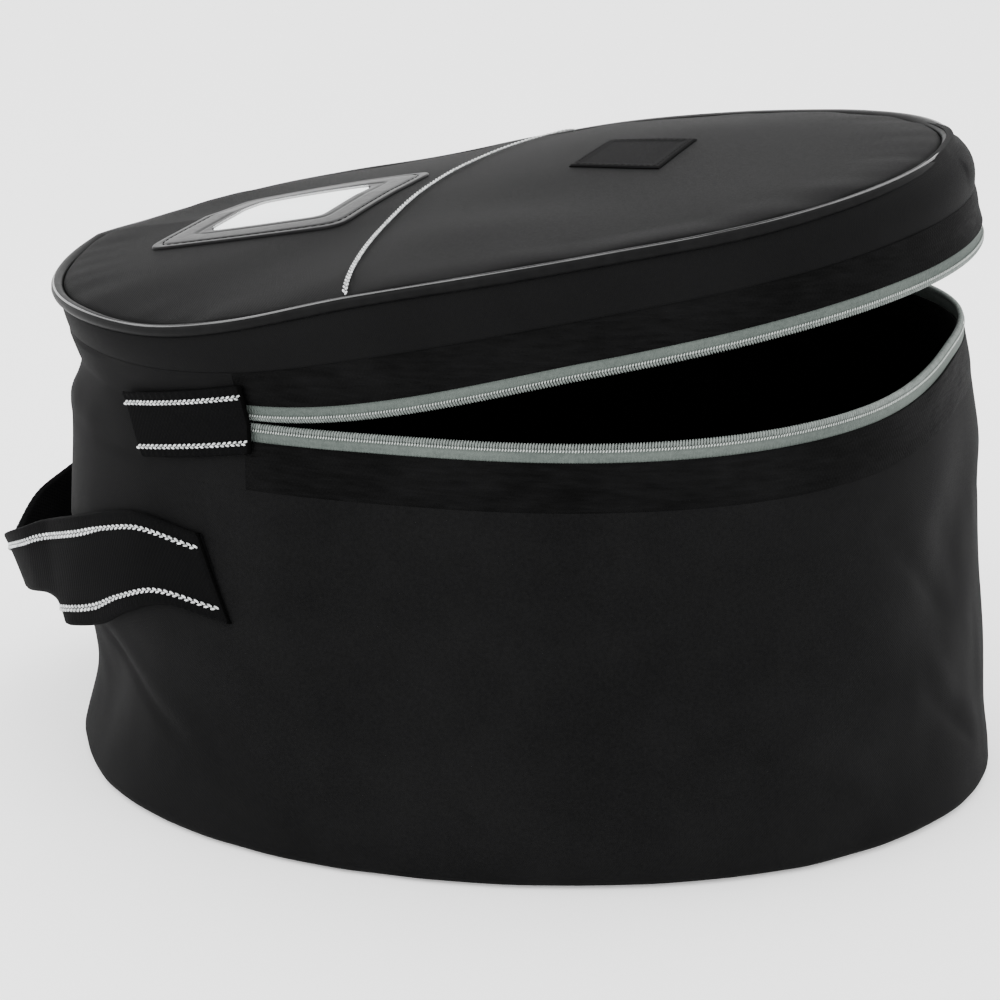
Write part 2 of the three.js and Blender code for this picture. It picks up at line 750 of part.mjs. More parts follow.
function addHandle() {
  const face = (outwards) => (column, row) => {
    const along = 2 * column - 1;
    const read = (name) => readTable(handleRoute, 'along', name, along);
    const across = row - 0.5;
    const lean = read('lean') * handleLean;
    const skew = read('skew') * handleSkew;
    const rise = Math.sqrt((handleWidth * read('broad')) ** 2 - lean ** 2 - skew ** 2);
    const tucked = Math.max(handleFold - row, 0) * rise;
    const tuckAngle = read('tuck') * handleTuck;
    const angle = angleAtArc(along * handleReach + across * skew);
    const out = read('out') * handleStandOff + across * lean + outwards - tucked * Math.sin(tuckAngle);
    const lift = (Math.max(row, handleFold) - 0.5) * rise - tucked * Math.cos(tuckAngle);
    return bodySide(angle, read('height') * handleHeight + lift, -out);
  };
  const geometry = sheet({
    columns: 40,
    rows: 3,
    ring: false,
    outer: face(2 * seamGap + handleThickness),
    inner: face(2 * seamGap),
  });
  addPiece('handle', geometry, webbing);
}

function addWindow() {
  const roundness = 12;
  const outline = (angle, border) => {
    const oval = unitOval(angle, roundness);
    const along = oval.x * (frameLength / 2 - border);
    const across = oval.y * (frameDepth / 2 - border);
    return { x: frameCentreX + along + across * frameSkew, y: frameCentreY + across };
  };
  const frameFace = (lift) => (column, row) => {
    const place = outline(aroundRing(column), frameBorder * row);
    return onLidTop(place.x, place.y, lift);
  };
  const frame = sheet({
    columns: roundedColumns,
    rows: 2,
    ring: true,
    outer: frameFace(seamGap + frameThickness),
    inner: frameFace(seamGap),
  });
  const filling = (lift) => (angle, share) => {
    const place = outline(angle, frameBorder + seamGap);
    return onLidTop(mix(frameCentreX, place.x, share), mix(frameCentreY, place.y, share), lift);
  };
  const cardTop = seamGap + cardThickness;
  const paneBottom = cardTop + seamGap;
  const plate = { columns: roundedColumns, rings: 2 };
  const card = disc({ ...plate, upper: filling(cardTop), lower: filling(seamGap) });
  const pane = disc({ ...plate, upper: filling(paneBottom + paneThickness), lower: filling(paneBottom) });
  addPiece('window_frame', frame, glossBlack);
  addPiece('name_card', card, whiteCard);
  addPiece('window_pane', pane, clearSheet);
}

function addLabelPatch() {
  const face = (lift) => (column, row) => {
    const along = (column - 0.5) * labelLength;
    const across = (row - 0.5) * labelDepth;
    const x = labelCentreX + along + across * labelSkew;
    return onLidTop(x, labelCentreY + across - along * labelSlant, lift);
  };
  const geometry = sheet({
    columns: 4,
    rows: 4,
    ring: false,
    outer: face(seamGap + labelThickness),
    inner: face(seamGap),
  });
  addPiece('label_patch', geometry, webbing);
}

// The cord across the lid: its ends lie nearer the nose than its middle.
function addSeamTrim() {
  const face = (lift) => (column, row) => {
    const share = Math.sin((column - 0.5) * Math.PI) * trimEndShare;
    const middleX = trimEndX - trimBow * (1 - share * share) - trimSlant * share;
    const halfDepth = topDepth / 2 * (1 - lidTaper * 2 * middleX / topLength);
    return onLidTop(middleX + (row - 0.5) * trimWidth, share * halfDepth, lift);
  };
  const geometry = sheet({
    columns: 32,
    rows: 1,
    ring: false,
    outer: face(seamGap + trimThickness),
    inner: face(seamGap),
  });
  addPiece('lid_seam_trim', geometry, reflectiveCord);
}

// Plain slider with its pull, parked at the far end of the zip against the tab.
function addZipSlider() {
  const arc = spineArc + tabOverlap + seamGap + sliderLength / 2;
  const angle = angleAtArc(arc);
  const outline = new THREE.Shape();
  outline.moveTo(-sliderLength / 2, -sliderHeight / 2);
  outline.lineTo(-pullWidth / 2, -sliderHeight / 2);
  outline.lineTo(-pullWidth / 2, -sliderHeight / 2 - pullLength);
  outline.lineTo(pullWidth / 2, -sliderHeight / 2 - pullLength);
  outline.lineTo(pullWidth / 2, -sliderHeight / 2);
  outline.lineTo(sliderLength / 2, -sliderHeight / 2);
  outline.lineTo(sliderLength / 2, sliderHeight / 2);
  outline.lineTo(-sliderLength / 2, sliderHeight / 2);
  const geometry = new THREE.ExtrudeGeometry(outline, { depth: sliderThickness, bevelEnabled: false });
  const slider = addPiece('zip_slider', geometry, sliderMetal);
  const hang = pullLength + sliderHeight / 2;
  const place = bodySide(angle, rimAt(angle), -2 * seamGap);
  const foot = bodySide(angle, rimAt(angle) - hang, -2 * seamGap);
  const up = place.clone().sub(foot).normalize();
  const wallOut = outwardOf((turn) => bodyOutline(turn, 1), angle);
  const along = new THREE.Vector3().crossVectors(up, wallOut).normalize();
  const outward = new THREE.Vector3().crossVectors(along, up);
  const coilInset = pipingStandsProud + (wallThickness - coilThickness) / 2 - seamGap;
  let proud = 0;
  for (const step of [-0.5, 0, 0.5]) {
    const turn = angleAtArc(arc + step * sliderLength);
    for (const rise of [0, sliderHeight / 2]) {
      const lidPoint = lidSide(turn, lidSideLength(turn) - rise, coilInset);
      proud = Math.max(proud, lidPoint.sub(place).dot(outward));
    }
  }
  slider.matrix.makeBasis(along, up, outward).setPosition(place.addScaledVector(outward, proud));
  slider.matrix.decompose(slider.position, slider.quaternion, slider.scale);
}

addBodyWall();
addBasePanel();
addRim();
addSpinePanel();
addLidTop();
addLidPiping();
addLidSide();
addZipTab('near_zip_tab', -1);
addZipTab('far_zip_tab', 1);
addHandle();
addWindow();
addLabelPatch();
addSeamTrim();
addZipSlider();

export default bag;
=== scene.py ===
"""Oval zipped bag for a riding helmet, dressed in cloth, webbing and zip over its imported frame.

Lengths are metres and angles radians unless a table says degrees. +X is the nose, where the
zip opens widest, -X the spine, -Y the front and +Z up. The shape's sizes, tables and functions
follow the part's source, so that every piece lies where its solid does.
"""

import math

import bmesh
import bpy
import numpy as np
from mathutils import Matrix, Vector


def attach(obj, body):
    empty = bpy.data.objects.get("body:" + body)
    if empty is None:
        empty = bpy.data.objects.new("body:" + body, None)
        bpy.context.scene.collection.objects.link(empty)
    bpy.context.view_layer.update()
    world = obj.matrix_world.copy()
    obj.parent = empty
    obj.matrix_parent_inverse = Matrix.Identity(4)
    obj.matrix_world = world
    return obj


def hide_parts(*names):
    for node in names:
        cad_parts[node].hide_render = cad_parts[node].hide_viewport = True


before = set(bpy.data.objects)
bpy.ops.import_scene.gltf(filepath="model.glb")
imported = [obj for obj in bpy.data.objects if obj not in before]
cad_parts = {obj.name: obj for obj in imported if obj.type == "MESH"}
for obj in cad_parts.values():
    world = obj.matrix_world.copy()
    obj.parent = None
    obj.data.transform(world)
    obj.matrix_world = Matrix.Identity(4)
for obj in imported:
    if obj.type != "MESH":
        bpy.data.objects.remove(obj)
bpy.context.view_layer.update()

# Camera, at the photograph's angle
CAMERA_AIM = (-0.0098, -0.0007, 0.0910)
CAMERA_BACK = (0.3337, -0.8994, 0.2825)
CAMERA_DISTANCE = 0.9417
CAMERA_LENS = 92.35

# Body
BODY_LENGTH = 0.342
BODY_DEPTH = 0.276
RIM_HEIGHT = 0.166
FRONT_SAG = 0.0175
CREASE_DEPTH = 0.007
CREASE_SPREAD = math.radians(75)
CREASE_REACH = 0.016
WALL_THICKNESS = 0.0024
BASE_THICKNESS = 0.0024
BASE_CORNER_RADIUS = 0.004
RIM_BAND_HEIGHT = 0.016
FOLD_DEPTH = 0.005

# Zip
TAPE_HEIGHT = 0.003
TAPE_THICKNESS = 0.0012
COIL_HEIGHT = 0.0024
COIL_THICKNESS = 0.0022
SPINE_ARC = 0.186
OPENING_BLEND = math.radians(40)
TOOTH_PITCH = 0.00095
TOOTH_SLANT = 0.25

# Lid
LID_LENGTH = 0.3204
LID_DEPTH = 0.2524
LID_ROUNDNESS = 2.1
LID_TAPER = 0.1
LID_ORIGIN = (-0.0106, -0.003, 0.2005)
LID_PITCH = math.radians(9.6)
LID_ROLL = math.radians(5.1)
LID_SIDE_HEIGHT = 0.034
LID_FLARE_LENGTH = 0.009
LID_FLARE_DEPTH = 0.002
LID_SIDE_BULGE = 0.004
LID_DOME = 0.0078
LID_WAVE = 0.004
LID_FOLD_HEIGHT = 0.008
LID_BAND_SHARE = 0.46
PIPING_RADIUS = 0.0023
PIPING_STANDS_PROUD = 0.0008

# Webbing
TAB_LENGTH = 0.058
TAB_HEIGHT = 0.023
TAB_THICKNESS = 0.0015
TAB_OVERLAP = 0.003
TAB_RISE = 0.002
TAB_DROOP = 0.012
TAB_SLANT = 0.012
TAB_NARROWING = 0.16
TAB_STRIPE_SHARE = 0.335
HANDLE_WIDTH = 0.037
HANDLE_THICKNESS = 0.0026
HANDLE_REACH = 0.1745
HANDLE_HEIGHT = 0.0925
HANDLE_STAND_OFF = 0.0375
HANDLE_LEAN = 0.022
HANDLE_SKEW = 0.010
HANDLE_FOLD = 1 / 3
HANDLE_TUCK = 1.9
HANDLE_STRIPE_SHARE = 0.335
CHAIN_WIDTH = 0.0019
CHAIN_PITCH = 0.0021
LONG_CHAIN_PITCH = 0.0028
BEAD_HALF_LENGTH = 0.40
BEAD_HALF_WIDTH = 0.22
BEAD_LEAN = 0.3
STRIPE_EXTRA_WIDTH = 0.0010

# Things on the lid
FRAME_LENGTH = 0.0785
FRAME_DEPTH = 0.073
FRAME_BORDER = 0.0165
FRAME_TOP = 0.0009
FRAME_CENTRE = (-0.07625, -0.0055)
FRAME_SKEW = 0.1
FRAME_ROUNDNESS = 12
CARD_THICKNESS = 0.0004
PANE_THICKNESS = 0.0006
LABEL_LENGTH = 0.0365
LABEL_DEPTH = 0.0385
LABEL_TOP = 0.0006
LABEL_CENTRE = (0.04665, 0.0215)
LABEL_SLANT = 0.33
LABEL_SKEW = 0.08
TRIM_THICKNESS = 0.0013
TRIM_END_X = -0.008
TRIM_BOW = 0.0165
TRIM_SLANT = 0.0025
TRIM_END_SHARE = 1.0

SEAM_GAP = 0.0003
MM_PER_DEGREE = 2.7

# Outline of the body at shares of the rim height:
# height, nose, spine, front, back, broad, taper, round
BODY_SECTIONS = np.array([
    (0.0, 0.995, 1.01, 0.99, 1.0, 0.1, 0.07, 2.07),
    (0.25, 0.972, 0.95, 0.98, 0.975, 0.08, 0.04, 2.25),
    (0.5, 0.95, 0.962, 0.975, 0.965, 0.05, 0.02, 2.3),
    (0.75, 0.933, 0.955, 0.955, 0.95, 0.02, 0.0, 2.4),
    (1.0, 0.895, 0.945, 0.928, 0.928, 0.0, 0.0, 2.46),
])

# Line where the zip closes: angle in degrees, drop as a share of the front sag
RIM_LINE = np.array([
    (-180, 1.05), (-158, 0.9), (-135, 1.0), (-113, 1.06), (-90, 1.0), (-60, 0.88), (-30, 0.57),
    (0, 0.1), (60, 0.0), (90, 0.1), (113, 0.3), (135, 0.65), (158, 1.0), (180, 1.05),
])

# Wave of the lid's edge: angle in degrees, lift as a share of the lid wave
LID_LINE = np.array([
    (-180, 1.1), (-157, 0.6), (-138, 0.0), (-120, -0.9), (-108, -0.7), (-90, 0.4), (-65, 0.55),
    (-42, 0.05), (0, 0.0), (60, -0.25), (85, -0.35), (100, -0.8), (115, -1.25), (130, -0.9),
    (145, -0.4), (165, 0.2), (180, 1.1),
])

# Swellings of the lid's top: x, y, reach in x, reach in y, height
LID_FOLDS = [
    (-0.9, 0.4, 0.1, 0.3, 0.6),
    (0.45, 0.55, 0.35, 0.25, 0.15),
    (0.1, -0.55, 0.3, 0.2, 0.2),
]

# Dents of the wall: angle in degrees, height, spread in degrees, reach, depth, lean in degrees
WALL_FOLDS = [
    (-62, 0.62, 16, 0.16, 0.9, 20),
    (-95, 0.5, 12, 0.14, 0.7, -25),
    (-140, 0.2, 9, 0.16, 1.0, 40),
    (-28, 0.2, 12, 0.12, 0.7, -35),
    (-10, 0.55, 10, 0.2, 0.6, 25),
    (40, 0.45, 15, 0.2, 0.8, 20),
    (95, 0.55, 18, 0.18, 0.9, -20),
    (150, 0.3, 12, 0.18, 0.9, 30),
]

# Creases of the wall: from angle and height to angle and height, depth and half width in mm
WALL_CREASES = [
    (-124.2, 0.79, -123.9, 0.6, 0.5, 1.6),
    (-137.8, 0.34, -117.0, 0.2, 0.9, 3.0),
    (-150.0, 0.55, -138.0, 0.42, 0.9, 3.0),
    (-112.0, 0.62, -98.0, 0.5, 0.5, 4.0),
    (-57.0, 0.34, -33.0, 0.12, 0.9, 3.5),
    (-84.0, 0.68, -62.0, 0.54, 0.8, 6.0),
    (-30.0, 0.7, -12.0, 0.45, 0.8, 4.5),
    (-74.0, 0.2, -60.0, 0.08, 0.7, 3.5),
    (-20.0, 0.3, -4.0, 0.12, 0.8, 3.5),
    (30.0, 0.6, 52.0, 0.42, 0.9, 4.0),
    (84.0, 0.3, 104.0, 0.14, 0.9, 3.5),
    (140.0, 0.5, 158.0, 0.3, 0.9, 4.0),
]

# Handle from its front end to its back end: along, out, height, lean, skew, broad, tuck
HANDLE_ROUTE = np.array([
    (-1.0, 0.0, 1.02, 0.0, 1.2, 0.84, 0.0),
    (-0.84, 0.0, 1.035, 0.0, 1.2, 0.86, 0.0),
    (-0.72, 0.01, 0.97, 0.0, 1.1, 0.94, 0.0),
    (-0.62, 0.06, 0.89, 0.0, 0.9, 1.03, 0.0),
    (-0.48, 0.2, 0.8, 0.0, 0.7, 1.03, 0.0),
    (-0.43, 0.3, 0.765, 0.1, 0.6, 1.0, 0.35),
    (-0.38, 0.42, 0.72, 0.2, 0.5, 0.97, 0.8),
    (-0.26, 0.68, 0.63, 0.4, 0.3, 0.88, 1.0),
    (-0.13, 0.88, 0.545, 0.6, 0.0, 0.8, 1.0),
    (0.0, 1.0, 0.615, 0.6, 0.0, 0.85, 1.0),
    (0.09, 0.97, 0.66, 0.5, 0.0, 0.9, 0.9),
    (0.18, 0.84, 0.73, 0.4, 0.0, 0.95, 0.7),
    (0.3, 0.58, 0.8, 0.3, -0.2, 1.0, 0.3),
    (0.42, 0.3, 0.865, 0.2, -0.4, 1.0, 0.0),
    (0.54, 0.12, 0.915, 0.1, -0.7, 1.0, 0.0),
    (0.64, 0.04, 0.955, 0.0, -1.0, 0.93, 0.0),
    (0.76, 0.0, 0.98, 0.0, -1.0, 0.86, 0.0),
    (1.0, 0.0, 0.98, 0.0, -1.0, 0.84, 0.0),
])


# Shape of the bag, as in the part's source

def smooth_step(value):
    share = np.clip(value, 0, 1)
    return share * share * (3 - 2 * share)


def mix(low, high, share):
    return low + (high - low) * share


def read_table(table, column, place):
    """A column of a table at a place between its rows, on a smooth curve through them."""
    places = table[:, 0]
    values = table[:, column]
    slopes = np.empty(len(places))
    slopes[1:-1] = (values[2:] - values[:-2]) / (places[2:] - places[:-2])
    slopes[0] = (values[1] - values[0]) / (places[1] - places[0])
    slopes[-1] = (values[-1] - values[-2]) / (places[-1] - places[-2])
    row = np.searchsorted(places[1:-1], place)
    span = places[row + 1] - places[row]
    share = np.clip((place - places[row]) / span, 0, 1)
    square = share ** 2
    cube = share ** 3
    low = (2 * cube - 3 * square + 1) * values[row] + (cube - 2 * square + share) * span * slopes[row]
    high = (3 * square - 2 * cube) * values[row + 1] + (cube - square) * span * slopes[row + 1]
    return low + high


def signed_angle(angle, centre=0.0):
    return np.arctan2(np.sin(angle - centre), np.cos(angle - centre))


def unit_oval(angle, roundness):
    cosine = np.cos(angle)
    sine = np.sin(angle)
    size = (np.abs(cosine) ** roundness + np.abs(sine) ** roundness) ** (1 / roundness)
    return cosine / size, sine / size


def outward_of(outline, angle):
    step = math.radians(0.5)
    before = outline(angle - step)
    after = outline(angle + step)
    x = after[1] - before[1]
    y = before[0] - after[0]
    size = np.hypot(x, y)
    return np.stack([x / size, y / size, np.zeros_like(x)], -1)


def body_outline(angle, height_share):
    nose, spine, front, back, broad, taper, power = (
        read_table(BODY_SECTIONS, column, height_share) for column in range(1, 8)
    )
    nose = nose * BODY_LENGTH / 2
    spine = spine * BODY_LENGTH / 2
    shift = broad * BODY_DEPTH / 2
    front = front * BODY_DEPTH / 2 + shift
    back = back * BODY_DEPTH / 2 - shift
    x, y = unit_oval(angle, power)
    depth = np.where(y < 0, front, back)
    return (nose - spine) / 2 + x * (nose + spine) / 2, shift + y * depth * (1 - taper * x)


def fold_inset(angle, height_share):
    inset = 0
    for centre, height, spread, reach, depth, lean in WALL_FOLDS:
        rise = height_share - height
        across = signed_angle(angle, np.radians(centre + lean * rise)) / math.radians(spread)
        inset = inset + FOLD_DEPTH * depth * np.exp(-across ** 2 - (rise / reach) ** 2)
    return inset


def corner_inset(z):
    depth = np.maximum(0, 1 - z / BASE_CORNER_RADIUS)
    return BASE_CORNER_RADIUS * (1 - np.sqrt(np.maximum(0, 1 - depth * depth)))


def rim_at(angle):
    return RIM_HEIGHT - FRONT_SAG * read_table(RIM_LINE, 1, np.degrees(signed_angle(angle)))


def crease_inset(angle, distance):
    around = 1 - smooth_step(np.abs(signed_angle(angle, math.pi)) / CREASE_SPREAD)
    return CREASE_DEPTH * around * (1 - smooth_step(np.abs(distance) / CREASE_REACH))


def body_side(angle, z, inset=0.0):
    """Points of the wall's outer face, drawn in by an inset."""
    angle, z, inset = np.broadcast_arrays(angle, z, inset)
    share = z / RIM_HEIGHT
    x, y = body_outline(angle, share)
    outward = outward_of(lambda turn: body_outline(turn, share), angle)
    drawn_in = inset + corner_inset(z) + fold_inset(angle, share) + crease_inset(angle, z - rim_at(angle))
    return np.stack([x, y, z], -1) - outward * drawn_in[..., None]


ARC_STEP = math.radians(0.25)
arc_turns = np.arange(0, math.pi + ARC_STEP, ARC_STEP)
arc_points = np.stack(body_outline(math.pi + arc_turns, np.ones_like(arc_turns)), -1)
arc_lengths = np.concatenate([[0], np.cumsum(np.linalg.norm(np.diff(arc_points, axis=0), axis=1))])


def angle_at_arc(distance):
    """Angles at distances along the rim from the middle of the spine, negative to the front."""
    return math.pi - np.sign(distance) * np.interp(np.abs(distance), arc_lengths, arc_turns)


def rotation(axis, angle):
    cosine = math.cos(angle)
    sine = math.sin(angle)
    if axis == "x":
        return np.array([(1, 0, 0), (0, cosine, -sine), (0, sine, cosine)])
    return np.array([(cosine, 0, sine), (0, 1, 0), (-sine, 0, cosine)])


LID_TURN = rotation("y", -LID_PITCH) @ rotation("x", LID_ROLL)
LID_UP = LID_TURN @ np.array([0, 0, 1])


def lid_outline(angle, length, depth):
    x, y = unit_oval(angle, LID_ROUNDNESS)
    return x * length / 2, y * depth / 2 * (1 - LID_TAPER * x)


def on_lid(x, y, z):
    x, y, z = np.broadcast_arrays(x, y, z)
    return np.stack([x, y, z], -1) @ LID_TURN.T + np.array(LID_ORIGIN)


def lid_lift(angle):
    return LID_WAVE * read_table(LID_LINE, 1, np.degrees(signed_angle(angle)))


def lid_edge(angle):
    x, y = lid_outline(angle, LID_LENGTH, LID_DEPTH)
    return on_lid(x, y, lid_lift(angle))


def lid_outward(angle):
    return outward_of(lambda turn: lid_outline(turn, LID_LENGTH, LID_DEPTH), angle) @ LID_TURN.T


ZIP_END_TURN = math.pi - float(angle_at_arc(SPINE_ARC))


def open_share(angle):
    from_end = np.abs(signed_angle(angle, math.pi)) - ZIP_END_TURN
    return smooth_step(from_end / OPENING_BLEND) ** 0.5


def lid_mouth(angle):
    """The lid's lower edge, which closes on to the rim at the zip's ends."""
    closed = body_side(angle, rim_at(angle))
    closed[..., 2] += SEAM_GAP
    x, y = lid_outline(angle, LID_LENGTH + 2 * LID_FLARE_LENGTH, LID_DEPTH + 2 * LID_FLARE_DEPTH)
    return mix(closed, on_lid(x, y, -LID_SIDE_HEIGHT), open_share(angle)[..., None])


def lid_side_length(angle):
    return np.linalg.norm(lid_edge(angle) - lid_mouth(angle), axis=-1)


def lid_side(angle, drop, inset=0.0):
    """Points of the lid's side, at a drop below the piping's line, drawn in by an inset."""
    angle, drop, inset = np.broadcast_arrays(angle, drop, inset)
    edge = lid_edge(angle)
    mouth = lid_mouth(angle)
    share = drop / np.linalg.norm(edge - mouth, axis=-1)
    fullness = smooth_step(np.abs(signed_angle(angle, math.pi)) / CREASE_SPREAD)
    bulge = LID_SIDE_BULGE * fullness * np.sin(math.pi * np.clip(share, 0, 1) ** 0.6)
    return mix(edge, mouth, share[..., None]) + lid_outward(angle) * (bulge - inset)[..., None]


TOP_INSET = PIPING_RADIUS + SEAM_GAP
TOP_LENGTH = LID_LENGTH - 2 * TOP_INSET
TOP_DEPTH = LID_DEPTH - 2 * TOP_INSET


def dome_at(x, y):
    along = 2 * x / TOP_LENGTH
    across = 2 * y / (TOP_DEPTH * (1 - LID_TAPER * along))
    edge_lift = lid_lift(np.arctan2(across, along)) * np.minimum(1, along ** 2 + across ** 2)
    rise = np.maximum(0, 1 - np.abs(along) ** LID_ROUNDNESS - np.abs(across) ** LID_ROUNDNESS)
    swell = LID_DOME
    for centre_x, centre_y, reach_x, reach_y, height in LID_FOLDS:
        from_x = (along - centre_x) / reach_x
        from_y = (across - centre_y) / reach_y
        swell = swell + LID_FOLD_HEIGHT * height * np.exp(-from_x ** 2 - from_y ** 2)
    return WALL_THICKNESS / 2 + edge_lift + swell * rise ** 0.6


def on_lid_top(x, y, lift):
    return on_lid(x, y, dome_at(x, y) + lift)


def wall_top_at(angle):
    return rim_at(angle) - COIL_HEIGHT - TAPE_HEIGHT - 2 * SEAM_GAP - RIM_BAND_HEIGHT


def outside_at(angle, rise, outwards):
    """Points on the outside at a rise above the rim's line, on the body's side or the lid's."""
    angle, rise, outwards = np.broadcast_arrays(angle, rise, outwards)
    below = body_side(angle, rim_at(angle) + np.minimum(rise, 0), -outwards)
    blend = smooth_step(rise / (TAB_HEIGHT / 2))
    drop = lid_side_length(angle) - np.maximum(rise, 0)
    above = lid_side(angle, drop, PIPING_STANDS_PROUD * blend - outwards)
    return np.where((rise <= 0)[..., None], below, above)


# Soft relief

def noise(seed, u, v, cells_u, cells_v):
    """Smooth noise, about -1 to 1, that joins up after one turn of u."""
    values = np.random.default_rng(seed).uniform(-1, 1, (cells_u, cells_v + 5))
    x = (u % 1.0) * cells_u
    y = np.clip(v, 0, 1) * cells_v
    column = np.floor(x).astype(int)
    row = np.floor(y).astype(int)

    def weights(share):
        return (
            (1 - share) ** 3 / 6,
            (3 * share ** 3 - 6 * share ** 2 + 4) / 6,
            (-3 * share ** 3 + 3 * share ** 2 + 3 * share + 1) / 6,
            share ** 3 / 6,
        )

    total = 0
    for i, across in enumerate(weights(x - column)):
        for j, up in enumerate(weights(y - row)):
            total = total + across * up * values[(column + i) % cells_u, row + j]
    return 2.2 * total


def ridges(seed, u, v, cells_u, cells_v):
    """Narrow soft creases between smooth patches, from 0 to 1."""
    return np.exp(-(noise(seed, u, v, cells_u, cells_v) / 0.16) ** 2)


def turn_share(angle):
    return (signed_angle(angle) / (2 * math.pi)) % 1.0


def crease_relief(angle, v):
    """Soft grooves along short lines, with a low swelling to one side of each."""
    degrees = np.degrees(signed_angle(angle))
    relief = 0.0
    for start_angle, start_v, end_angle, end_v, depth, width in WALL_CREASES:
        run = (end_angle - start_angle) * MM_PER_DEGREE
        rise = (end_v - start_v) * RIM_HEIGHT * 1000
        length = math.hypot(run, rise)
        across_turn = (degrees - start_angle) * MM_PER_DEGREE
        up = (v - start_v) * RIM_HEIGHT * 1000
        share = (across_turn * run + up * rise) / length ** 2
        aside = (up * run - across_turn * rise) / length
        fade = smooth_step((share + 0.15) / 0.35) * smooth_step((1.15 - share) / 0.35)
        groove = np.exp(-(aside / width) ** 2) - 0.8 * np.exp(-((aside - 2.4 * width) / (1.8 * width)) ** 2)
        relief = relief - 0.001 * depth * fade * groove
    return relief


def wall_relief(angle, z):
    u = turn_share(angle)
    v = z / RIM_HEIGHT
    soft = smooth_step(z / 0.03) * smooth_step((wall_top_at(angle) - z) / 0.04)
    relief = 0.0014 * noise(11, u + 0.06 * v, v, 13, 3) + crease_relief(angle, v)
    relief = relief + 0.0009 * noise(12, u - 0.09 * v, v, 34, 6)
    relief = relief - 0.0009 * ridges(13, u + 0.10 * v, v, 17, 3)
    relief = relief + 0.00015 * noise(14, u + 0.02 * v, v, 120, 18)
    hem = 0.0004 * noise(15, u, v, 96, 2) * np.exp(-z / 0.012)
    return relief * soft + hem


def lid_relief(x, y):
    """Soft unevenness of the lid's top, which everything sewn to it follows."""
    along = 0.5 + x / TOP_LENGTH * 0.9
    across = 0.5 + y / TOP_DEPTH * 0.9
    waves = 0.0014 * noise(72, along + 0.2 * across, across, 5, 4)
    waves = waves + 0.0006 * noise(73, along, across, 11, 8)
    half_depth = TOP_DEPTH / 2 * (1 - LID_TAPER * 2 * x / TOP_LENGTH)
    reach = np.abs(2 * x / TOP_LENGTH) ** LID_ROUNDNESS + np.abs(y / half_depth) ** LID_ROUNDNESS
    share = reach ** (1 / LID_ROUNDNESS)
    return waves * smooth_step((1 - share) / 0.15)


def on_soft_lid(x, y, lift):
    return on_lid_top(x, y, lift + lid_relief(x, y))


def side_relief(angle, share, amount, seed):
    u = turn_share(angle)
    ends = smooth_step((math.pi - ZIP_END_TURN - np.abs(angle)) / 0.05)
    return ends * (amount * (noise(seed, u, share, 40, 3) + 0.4 * noise(seed + 1, u, share, 120, 5)))


def edge_round(distance, radius):
    """How far a cloth edge rolls in at a distance from its end."""
    left = np.clip(1 - distance / radius, 0, 1)
    return radius * (1 - np.sqrt(1 - left ** 2))


# Meshes

def make_object(name, vertices, faces, corner_uv=None, sharp=50):
    mesh = bpy.data.meshes.new(name)
    mesh.from_pydata(vertices, [], faces)
    if corner_uv is not None:
        layer = mesh.uv_layers.new(name="cloth")
        layer.data.foreach_set("uv", np.asarray(corner_uv, dtype=np.float32).ravel())
    built = bmesh.new()
    built.from_mesh(mesh)
    bmesh.ops.remove_doubles(built, verts=built.verts, dist=1e-7)
    bmesh.ops.recalc_face_normals(built, faces=built.faces)
    built.to_mesh(mesh)
    built.free()
    mesh.shade_smooth()
    mesh.set_sharp_from_angle(angle=math.radians(sharp))
    piece = bpy.data.objects.new(name, mesh)
    bpy.context.scene.collection.objects.link(piece)
    return piece


def cells(columns, rows):
    column, row = np.meshgrid(np.arange(columns), np.arange(rows), indexing="ij")
    columns_at = np.stack([column, column + 1, column + 1, column], -1).reshape(-1, 4)
    rows_at = np.stack([row, row, row + 1, row + 1], -1).reshape(-1, 4)
    return columns_at, rows_at


def sheet(name, outer, inner, uv, ring=False, tip=False):
    """Cloth with two faces on grids of points, closed along its edges. A ring joins its last
    column to its first, and a tip closes the last row in one point."""
    lines, steps = outer.shape[:2]
    columns = lines if ring else lines - 1
    size = lines * steps

    def index(column, row, face):
        return face * size + (column % lines) * steps + row

    columns_at, rows_at = cells(columns, steps - 1)
    faces = [index(columns_at, rows_at, 0), index(columns_at, rows_at, 1)[:, ::-1]]
    places = [(columns_at, rows_at), (columns_at[:, ::-1], rows_at[:, ::-1])]
    edge = np.arange(columns)
    ends = [0] if tip else [0, steps - 1]
    for row in ends:
        rows_there = np.full(columns, row)
        quad = [index(edge, row, 0), index(edge, row, 1), index(edge + 1, row, 1), index(edge + 1, row, 0)]
        faces.append(np.stack(quad, -1))
        places.append((np.stack([edge, edge, edge + 1, edge + 1], -1), np.stack([rows_there] * 4, -1)))
    if not ring:
        edge = np.arange(steps - 1)
        for line in (0, lines - 1):
            near = [index(line, edge, 0), index(line, edge, 1)]
            quad = near + [index(line, edge + 1, 1), index(line, edge + 1, 0)]
            faces.append(np.stack(quad, -1))
            places.append((np.full((steps - 1, 4), line), np.stack([edge, edge, edge + 1, edge + 1], -1)))
    vertices = np.concatenate([outer.reshape(-1, 3), inner.reshape(-1, 3)])
    corner_uv = np.concatenate([uv[columns_at, rows_at].reshape(-1, 2) for columns_at, rows_at in places])
    return make_object(name, vertices.tolist(), np.concatenate(faces).tolist(), corner_uv)


def grid_uv(columns, rows, length, height):
    u = np.linspace(0, length, columns + 1)
    v = np.linspace(0, height, rows + 1)
    return np.stack(np.meshgrid(u, v, indexing="ij"), -1)


